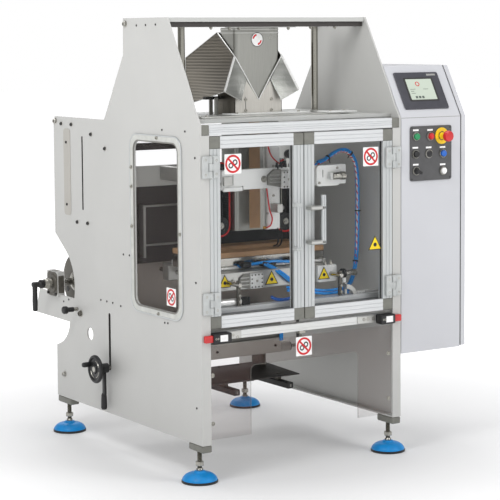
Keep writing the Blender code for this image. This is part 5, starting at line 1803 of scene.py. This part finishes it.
# ---- cabinet ----------------------------------------------------------------------------------
@dataclass
class Cabinet:
    """The control cabinet: folded shell, side door and sloping display."""

    x: Pair = (0.803, 1.062)
    z: Pair = (0.345, 1.156)
    depth: float = 0.45
    brow: Pair = (0.101, 1.331)
    door_x: Pair = (1.0625, 1.086)
    wall: float = 0.003

    def outline(self, inset: float, foot: float) -> Array:
        """The cabinet seen from its side: upright front, sloping brow, level top, back and underside."""
        y, z = self.brow
        return np.array([(inset, foot + inset), (inset, self.z[1] - inset * 0.3),
                         (y + inset * 0.6, z - inset), (self.depth - inset, z - inset),
                         (self.depth - inset, foot + inset)])

    def shell(self) -> Piece:
        """The box with its open side: an outer skin, an inner skin, and the rim between them."""
        outer, inner = self.outline(0.0002, self.z[0]), self.outline(self.wall, self.z[0])
        soft = drawn_in(outer, 0.0015)
        x0, x1 = self.x
        stations = [(soft, x0 + 0.0001), (outer, x0 + 0.0016), (outer, x1 - 0.001), (soft, x1 - 0.0001),
                    (inner, x1 - 0.0001), (inner, x0 + self.wall)]
        piece = Piece("cabinet_box", "machine", "cabinet_grey", stands_for=("cabinet_shell",))
        piece.add(CABINET, skin(stacked(stations, Axis.X), wrap_columns=True, caps=True))
        for z in (0.48, 0.98):
            piece.add(HOUSING, block((0.8004, 0.8032), (0.06, 0.14), about(z, 0.03), 0.0002))
        # A black gasket round the open side, which also serves as painted shade darkening the gap between
        # shell and door.
        seal = drawn_in(self.outline(0.0002, self.z[0]), 0.004)
        piece.add(BLACK, slab(seal, drawn_in(seal, 0.008), Axis.X, x1 - 0.001, x1 + 0.0004))
        # Painted shade: a thin mid-grey strip at the top of the front face, darkening the fold into the brow.
        piece.add(HOUSING, block((0.804, 1.061), (0.0001, 0.0012), (1.1545, 1.156), 0.0001))
        for y in (0.02, 0.43):
            for z in (0.4, 0.75, 1.1):
                piece.add(ZINC, socket_head(Axis.X, (x0, y, z), 0.004, 0.002))
        piece.add(HOUSING, block((0.86, 1.0), (0.15, 0.3), (0.3445, 0.3465), 0.0004))
        piece.add(ALLOY, block((0.808, 0.812), (0.08, 0.4), (0.42, 1.06), 0.001))
        return piece

    def side_door(self) -> Piece:
        """The side door as a folded tray, with two quarter-turn locks."""
        outer = self.outline(0.0002, self.z[0] + 0.004)
        soft, inner = drawn_in(outer, 0.002), drawn_in(outer, 0.0035)
        x0, x1 = self.door_x
        stations = [(inner, x1 - self.wall), (inner, x0 + 0.0002), (outer, x0 + 0.0002), (outer, x1 - 0.0021),
                    (soft, x1 - 0.0001)]
        piece = Piece("cabinet_door_tray", "cabinet_door", "cabinet_grey", stands_for=("cabinet_side_door",))
        piece.add(CABINET, skin(stacked(stations, Axis.X), wrap_columns=True, caps=True))
        # A black rim round the door's inner face: a gasket, which also serves as painted shade darkening the
        # gap between shell and door.
        piece.add(SATIN_BLACK,
                  slab(drawn_in(outer, -0.00008), drawn_in(outer, 0.003), Axis.X, x0 + 0.0003, x0 + 0.0036))
        for z in (0.52, 1.05):
            piece.add(ZINC, lathed([(-0.003, 0.011), (-0.0006, 0.011), (-0.0002, 0.009)], Axis.X,
                                   (x1, 0.04, z), 24))
            piece.add(SATIN_BLACK,
                      block((x1 - 0.0006, x1 - 0.0001), (0.0385, 0.0415), about(z, 0.007), 0.0001))
        return piece

    def on_brow(self, shape: Shape) -> Shape:
        """Carries a shape drawn about the origin, facing -Y, onto the middle of the sloping brow."""
        slope = np.array([0.0, self.brow[0], self.brow[1] - self.z[1]])
        lean = math.degrees(math.atan2(slope[1], slope[2]))
        middle = np.array([sum(self.x) / 2 - 0.006, 0.0, self.z[1]]) + slope * 0.5
        turned = shape.spun(Axis.X, -lean, (0.0, 0.0, 0.0))
        return turned.moved(float(middle[0]), float(middle[1]), float(middle[2]))

    def display(self) -> Piece:
        """The touch display: dark bezel, recessed edge, pale screen and plain blocks of picture."""
        piece = Piece("touch_display", "machine", "slate", stands_for=("hmi_panel",))
        body = pushed(rounded((-0.0958, 0.0958), (-0.0718, 0.0718), 0.006, 5), Axis.Y, -0.0059, -0.0004,
                      0.0018)
        piece.add(SLATE, self.on_brow(body))
        rim = slab(rounded((-0.064, 0.064), (-0.042, 0.05), 0.004, 4), rounded((-0.056, 0.056),
                                                                               (-0.036, 0.044), 0.002, 4),
                   Axis.Y, -0.0066, -0.0056, 0.0004)
        piece.add(SATIN_BLACK, self.on_brow(rim))
        glass = pushed(rounded((-0.056, 0.056), (-0.036, 0.044), 0.002, 2), Axis.Y, -0.0062, -0.0055)
        piece.add(SCREEN, self.on_brow(glass))
        for x0, x1, z0, z1 in ((-0.048, -0.026, 0.004, 0.0055), (-0.048, -0.034, -0.004, -0.0025),
                               (-0.048, -0.03, -0.012, -0.0105), (-0.036, -0.026, -0.031, -0.022),
                               (-0.022, -0.012, -0.031, -0.022), (-0.008, 0.002, -0.031, -0.022),
                               (0.008, 0.03, 0.004, 0.0055)):
            piece.add(SCREEN_PART, self.on_brow(block((x0, x1), (-0.0066, -0.006), (z0, z1), 0.0002)))
        mark = slab(circle(-0.01, 0.025, 0.009, 20), circle(-0.01, 0.025, 0.0062, 20), Axis.Y, -0.0066,
                    -0.006)
        piece.add(SIGN_RED, self.on_brow(mark))
        piece.add(ALLOY, self.on_brow(block((0.044, 0.082), (-0.0066, -0.0058), (0.057, 0.064), 0.0002)))
        return piece

    def build(self) -> None:
        """Makes the cabinet's pieces."""
        for piece in (self.shell(), self.side_door(), self.display()):
            piece.place()


class Control(Enum):
    """The controls on the button plate: moving body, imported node, X, Z and finish."""

    START = ("start_cap", "start_button", 0.862, 1.091, GREEN)
    STOP = ("stop_cap", "stop_button", 0.924, 1.09, RED)
    RESET = ("reset_cap", "reset_button", 0.86, 1.031, BLACK)
    STEP = ("step_cap", "step_button", 0.979, 1.029, BLUE)
    FILM = ("film_cap", "film_button", 0.98, 0.969, WHITE)
    SELECTOR = ("selector", "selector_switch", 0.862, 0.973, BLACK)
    STOP_HEAD = ("stop_head", "emergency_stop", 0.974, 1.09, RED)


@dataclass
class ButtonPlate:
    """The plate of controls: rings, blank label strips, lamp, caps, selector and emergency stop."""

    face_y: float = -0.004
    ring_y: float = -0.0085
    lamp: Pair = (0.918, 1.03)

    def strip(self, x: float, z: float) -> Shape:
        """The blank strip over a control."""
        return block(about(x, 0.012), (self.face_y - 0.0005, self.face_y), (z + 0.0185, z + 0.0245), 0.0001)

    def plate(self) -> Piece:
        """The plate's body with a ring and blank white strip for each control.

        The plate has a round bore for each control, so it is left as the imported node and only
        its rings and strips are pieces here.
        """
        dress(BUTTON_PLATE, "button_plate")
        piece = Piece("button_plate_rings", "machine", "button_grey")
        for control in Control:
            _, _, x, z, _ = control.value
            if control is Control.STOP_HEAD:
                piece.add(YELLOW, slab(circle(x, z, 0.0285, 36), circle(x, z, 0.0152, 36), Axis.Y, -0.008,
                                       self.face_y, 0.0006))
            else:
                piece.add(ZINC, slab(circle(x, z, 0.0146, 32), circle(x, z, 0.012, 32), Axis.Y,
                                     self.ring_y - 0.0016, self.face_y, 0.0008))
                piece.add(STICKER, self.strip(x, z))
        x, z = self.lamp
        piece.add(ZINC, slab(circle(x, z, 0.015, 32), circle(x, z, 0.0118, 32), Axis.Y, self.ring_y - 0.001,
                             self.face_y, 0.0008))
        piece.add(BLACK, lathed([(self.face_y, 0.0112), (-0.0125, 0.0112), (-0.014, 0.0085),
                                 (-0.0146, 0.004)], Axis.Y, (x, 0, z), 28))
        piece.add(STICKER, self.strip(x, z))
        for a in (0.846, 1.012):
            for b in (0.945, 1.119):
                piece.add(SATIN_BLACK, socket_head(Axis.Y, (a, self.face_y, b), 0.0026, 0.001))
        return piece

    def cap(self, control: Control) -> Piece:
        """A control's cap: a slightly dished button, a finger-grip knob or a mushroom head."""
        body, node, x, z, finish = control.value
        piece = Piece(f"{node}_cap", body, "black_plastic" if finish is BLACK else finish.name.split("_")[0],
                      stands_for=(node,))
        centre = (x, 0.0, z)
        if control is Control.STOP_HEAD:
            piece.add(YELLOW, lathed([(-0.0058, 0.013), (-0.012, 0.0118), (-0.025, 0.0098),
                                      (-0.0352, 0.0098)], Axis.Y, centre, 32))
            head = [(-0.035, 0.015), (-0.0358, 0.0186), (-0.0378, 0.0192), (-0.045, 0.019), (-0.0495, 0.0172),
                    (-0.0515, 0.012), (-0.0519, 0.005)]
            piece.add(RED, lathed(head, Axis.Y, centre, 40))
        elif control is Control.SELECTOR:
            piece.add(BLACK,
                      lathed([(-0.0058, 0.0109), (-0.0125, 0.0109), (-0.0135, 0.0095)], Axis.Y, centre, 28),
                      lathed([(-0.012, 0.0098), (-0.017, 0.0085), (-0.018, 0.007)], Axis.Y, centre, 24))
            handle = block(about(x, 0.005), (-0.0238, -0.015), (z - 0.008, z + 0.018), 0.0022, 2)
            piece.add(BLACK, handle.spun(Axis.Y, 118.0, centre))
        else:
            dish = [(-0.0058, 0.0108), (-0.0148, 0.0108), (-0.0158, 0.01), (-0.0152, 0.008), (-0.0148, 0.003)]
            piece.add(finish, lathed(dish, Axis.Y, centre, 32))
        return piece

    def build(self) -> None:
        """Makes the rings and every cap."""
        self.plate().place()
        for control in Control:
            self.cap(control).place()


# ---- film reel, dancer and adjuster -----------------------------------------------------------
@dataclass
class ReelShaft:
    """The reel shaft with its two clamped flanges, and the lever that locks it."""

    y: float = 1.03
    z: float = 0.54

    def shaft(self) -> Piece:
        """A ground shaft; each flange is a dished disc with a rim, a boss and three holes' screws."""
        centre = (0.0, self.y, self.z)
        piece = Piece("reel_shaft_set", "reel", "polished", stands_for=("reel_shaft",))
        piece.add(STEEL, lathed([(-0.0455, 0.0112), (-0.044, 0.0124), (0.8135, 0.0124), (0.8148, 0.0112)],
                                Axis.X, centre, 28))
        for at, way in ((0.088, 1), (0.712, -1)):
            disc = [(at - way * 0.01, 0.034), (at - way * 0.004, 0.04), (at - way * 0.0032, 0.095),
                    (at - way * 0.002, 0.0998), (at + way * 0.0035, 0.0998), (at + way * 0.004, 0.096),
                    (at + way * 0.0044, 0.044)]
            piece.add(IRON, lathed(disc, Axis.X, centre, 56))
            piece.add(ZINC, lathed([(at - way * 0.0185, 0.018), (at - way * 0.01, 0.033),
                                    (at - way * 0.008, 0.035)], Axis.X, centre, 36))
            piece.add(ALLOY, lathed([(at + way * 0.0044, 0.04), (at + way * 0.031, 0.033),
                                     (at + way * 0.0335, 0.022)], Axis.X, centre, 36))
            for turn in (90, 210, 330):
                a = math.radians(turn)
                spot = (at - way * 0.004, self.y + 0.07 * math.cos(a), self.z + 0.07 * math.sin(a))
                piece.add(SATIN_BLACK, lathed([(0, 0.01), (-way * 0.0014, 0.0092)], Axis.X, spot, 16))
        piece.add(ZINC, lathed([(-0.0195, 0.0125), (-0.018, 0.0205), (-0.032, 0.0205), (-0.0335, 0.018),
                                (-0.043, 0.017), (-0.0445, 0.015)], Axis.X, centre, 28))
        return piece

    def lever(self) -> Piece:
        """The black clamping lever: turned hub and a tapering arm with a rounded end."""
        centre = (0.0, self.y, self.z)
        piece = Piece("reel_lever_arm", "reel_lever", "black_plastic", stands_for=("reel_clamp_lever",))
        hub = [(-0.0465, 0.014), (-0.048, 0.0158), (-0.06, 0.0158), (-0.064, 0.0115), (-0.07, 0.01),
               (-0.088, 0.01), (-0.0915, 0.0085), (-0.0929, 0.004)]
        piece.add(BLACK, lathed(hub, Axis.X, centre, 28))
        arm = [(-0.0978, 0.003), (-0.0965, 0.007), (-0.093, 0.0092), (-0.06, 0.0098), (-0.03, 0.009),
               (0.0, 0.0095)]
        piece.add(BLACK, lathed(arm, Axis.Z, (-0.0815, self.y, self.z), 22))
        return piece

    def build(self) -> None:
        """Makes the shaft and lever."""
        self.shaft().place()
        self.lever().place()


@dataclass
class Rollers:
    """The dancer roller, the adjuster's roller and the hand controls on its left end."""

    dancer: Pair = (0.9155, 0.832)
    adjuster: Pair = (0.614, 0.29)

    def roller(self, name: str, body: str, node: str, at: Pair, big: float, small: float, ends: Pair,
               tube: Pair) -> Piece:
        """A roller: a tube with eased ends and black end caps on a thinner shaft."""
        centre = (0.0, at[0], at[1])
        piece = Piece(name, body, "roller_alloy", stands_for=(node,))
        piece.add(STEEL, lathed([(ends[0], small - 0.0008), (ends[0] + 0.001, small),
                                 (ends[1] - 0.001, small), (ends[1], small - 0.0008)], Axis.X, centre, 20))
        piece.add(ALLOY, lathed([(tube[0] + 0.003, big - 0.0002), (tube[1] - 0.003, big - 0.0002)], Axis.X,
                                centre, 36))
        for low, high in ((tube[0], tube[0] + 0.003), (tube[1] - 0.003, tube[1])):
            piece.add(BLACK, lathed([(low, big - 0.0015), (low + 0.0005, big - 0.0008), (high, big - 0.0008)],
                                    Axis.X, centre, 36))
        return piece

    def handwheel(self) -> Piece:
        """The black handwheel: ring, dished web with three bright slots, boss and revolving grip."""
        y, z = self.adjuster
        piece = Piece("adjuster_wheel", "handwheel", "black_plastic", stands_for=("adjuster_handwheel",))
        piece.add(BLACK, hoop(0.0425, 0.007, Axis.X, (-0.058, y, z), 44, 12),
                  lathed([(-0.0612, 0.0185), (-0.06, 0.0425), (-0.0565, 0.0425), (-0.0555, 0.0185)], Axis.X,
                         (0, y, z), 44),
                  lathed([(-0.05, 0.015), (-0.0555, 0.0175), (-0.0615, 0.0175), (-0.0655, 0.015)], Axis.X,
                         (0, y, z), 30))
        piece.add(ZINC, lathed([(-0.0652, 0.01), (-0.066, 0.009)], Axis.X, (0, y, z), 20))
        piece.add(BLACK, lathed([(-0.056, 0.0078), (-0.07, 0.0092), (-0.085, 0.0088), (-0.0895, 0.007),
                                 (-0.0909, 0.0035)], Axis.X, (0, y + 0.036, z + 0.012), 22))
        for start in (100.0, 190.0, 280.0):
            piece.add(ZINC, hoop(0.03, 0.0016, Axis.X, (-0.0608, y, z), 14, 6, 62.0, start))
        return piece

    def clamp(self) -> Piece:
        """The clamping lever: hub on the shaft, flat arm and a drooping round grip."""
        y, z = self.adjuster
        piece = Piece("clamp_lever_arm", "clamp_lever", "black_plastic", stands_for=("adjuster_clamp_lever",))
        ring = slab(circle(y, z, 0.0169, 28), circle(y, z, 0.0067, 28), Axis.X, -0.0338, -0.0102, 0.001)
        piece.add(BLACK, ring, block((-0.0288, -0.0192), about(y, 0.0088), (z - 0.095, z - 0.014), 0.003, 3))
        grip = [(-0.1469, 0.004), (-0.1455, 0.0085), (-0.14, 0.0108), (-0.115, 0.0104), (-0.095, 0.0092),
                (-0.088, 0.006)]
        piece.add(BLACK, lathed(grip, Axis.Z, (-0.024, y + 0.004, z), 24))
        return piece

    def plunger(self) -> Piece:
        """The spring plunger's knob on its steel pin."""
        piece = Piece("plunger_knob", "plunger", "black_plastic", stands_for=("index_plunger",))
        centre = (0.0, 0.852, 0.466)
        piece.add(STEEL, lathed([(-0.0006, 0.0068), (-0.017, 0.0068), (-0.018, 0.005)], Axis.X, centre, 22))
        piece.add(BLACK, lathed([(-0.0175, 0.0082), (-0.0185, 0.009), (-0.039, 0.0088), (-0.043, 0.0125),
                                 (-0.045, 0.0139), (-0.056, 0.0139), (-0.06, 0.011), (-0.0618, 0.005)],
                                Axis.X, centre, 28))
        return piece

    def plunger_bolt(self) -> Piece:
        """The flat bolt beside the plunger."""
        piece = Piece("plunger_bolt", "machine", "plate_grey")
        piece.add(ZINC, washer(Axis.X, (0.0, 0.827, 0.452), 0.0125, 0.0016))
        piece.add(IRON, socket_head(Axis.X, (-0.0016, 0.827, 0.452), 0.0095, 0.008))
        return piece

    def build(self) -> None:
        """Makes the rollers and hand controls."""
        self.roller("dancer_tube", "dancer", "dancer_roller", self.dancer, 0.025, 0.011, (0.0012, 0.7988),
                    (0.028, 0.772)).place()
        self.roller("adjuster_tube", "adjuster", "adjuster_shaft", self.adjuster, 0.018, 0.006,
                    (-0.0494, 0.8058), (0.045, 0.755)).place()
        for piece in (self.handwheel(), self.clamp(), self.plunger(), self.plunger_bolt()):
            piece.place()


# ---- hoses ------------------------------------------------------------------------------------
@dataclass
class Hoses:
    """The bundle of air hoses with a spiral-wrapped lead, held all the way by ties and fittings."""

    route: tuple[Triple, ...] = (
        (0.56, 0.15, 1.006), (0.59, 0.152, 1.014), (0.63, 0.156, 1.034), (0.668, 0.162, 1.045),
        (0.706, 0.17, 1.036), (0.738, 0.178, 1.0), (0.752, 0.184, 0.945), (0.756, 0.186, 0.88),
        (0.755, 0.186, 0.815), (0.752, 0.184, 0.75), (0.744, 0.178, 0.69), (0.728, 0.168, 0.632),
        (0.704, 0.156, 0.59), (0.672, 0.142, 0.566))
    bore: float = 0.0046

    def bundle(self) -> Piece:
        """Three blue hoses, and beside them a pale lead with a red one wound round it."""
        spine = eased(self.route, 10)
        piece = Piece("hose_run", "machine", "hose_blue", stands_for=("hose_bundle",))
        for start in (20.0, 140.0, 260.0):
            piece.add(HOSE_BLUE, hose(beside(spine, 0.0036, 0.6, start), self.bore, 10))
        lead = spine + np.array([-0.0045, -0.003, -0.005])
        piece.add(PALE_CORE, hose(lead, 0.003, 8))
        fine = eased(self.route, 40)
        piece.add(RED_CORE, hose(beside(fine + np.array([-0.0045, -0.003, -0.005]), 0.0026, 34.0), 0.0019, 6))
        for at in (14, 42, 78, 106):
            here, ahead = spine[at], spine[at + 1] - spine[at - 1]
            turn = Vector(ahead.tolist()).normalized().to_track_quat("Z", "Y").to_matrix()
            ring = lathed([(-0.0022, 0.0098), (-0.0016, 0.0104), (0.0016, 0.0104), (0.0022, 0.0098)], Axis.Z,
                          (0, 0, 0), 16)
            tail = block((-0.0015, 0.0015), (-0.021, -0.009), (-0.001, 0.001), 0.0004)
            points = (ring + tail).points @ np.array(turn).T + here
            piece.add(BLACK, Shape(points, (ring + tail).faces))
        return piece

    def jaw_hoses(self) -> Piece:
        """The short hoses and black fittings along the top of the front jaw's carrier."""
        piece = Piece("jaw_hoses", "jaw_front", "hose_blue")
        for shift, end in ((0.0, 0.6), (0.01, 0.606)):
            line = eased([(0.262, 0.196, 0.669), (0.3, 0.19, 0.671 + shift * 0.3),
                          (0.345, 0.184, 0.674 + shift * 0.4), (0.4, 0.18, 0.675 + shift * 0.4),
                          (0.45, 0.178, 0.674), (0.5, 0.176, end + 0.072)])
            piece.add(HOSE_BLUE, hose(line + np.array([0.0, -shift, 0.0]), self.bore, 10))
        for shift in (0.0, 0.012):
            drop = eased([(0.352 + shift, 0.172, 0.672), (0.372 + shift, 0.15, 0.658),
                          (0.4 + shift, 0.131, 0.635), (0.43 + shift, 0.129, 0.612), (0.46 + shift, 0.131,
                                                                                      0.6)])
            piece.add(HOSE_BLUE, hose(drop, self.bore, 10))
        for x0, x1 in ((0.268, 0.3), (0.346, 0.372), (0.378, 0.4), (0.48, 0.504)):
            piece.add(BLACK, block((x0, x1), (0.168, 0.196), (0.664, 0.682), 0.003, 2))
            piece.add(SATIN_BLACK,
                      lathed([(x0 - 0.006, 0.0062), (x1 + 0.006, 0.0062)], Axis.X, (0, 0.181, 0.674), 14))
        return piece

    def lower_loop(self) -> Piece:
        """The bright blue loop that leaves the bundle's lower end and passes under the jaws."""
        piece = Piece("lower_hose_loop", "machine", "hose_blue")
        loop = eased([(0.672, 0.142, 0.566), (0.666, 0.124, 0.553), (0.651, 0.115, 0.564),
                      (0.62, 0.112, 0.562), (0.56, 0.112, 0.562), (0.48, 0.12, 0.574), (0.42, 0.132, 0.582)])
        piece.add(HOSE_BLUE, hose(loop, 0.005, 10), hose(loop + np.array([0.0, 0.004, 0.01]), 0.0045, 10))
        piece.add(BLUE, block((0.65, 0.682), (0.13, 0.156), (0.556, 0.576), 0.003, 2))
        return piece

    def build(self) -> None:
        """Makes the hoses."""
        for piece in (self.bundle(), self.jaw_hoses(), self.lower_loop()):
            piece.place()


def main() -> None:
    """Builds the machine's looks in order."""
    logging.basicConfig(level=logging.INFO, format="%(name)s %(message)s")
    Studio().build()
    SidePlates().build()
    CrossMembers().build()
    Door("left", (0.0355, 0.3985), 0.0345, 1).build()
    Door("right", (0.4015, 0.7645), 0.7655, -1).build()
    DoorSwitches().build()
    FormingSet().build()
    BeltBeam().build()
    PullBelt("left", -1).build()
    PullBelt("right", 1).build()
    SealBar().build()
    Jaws().build()
    Outfeed().build()
    Feet().build()
    Cabinet().build()
    ButtonPlate().build()
    ReelShaft().build()
    Rollers().build()
    Hoses().build()


if __name__ == "__main__":
    main()
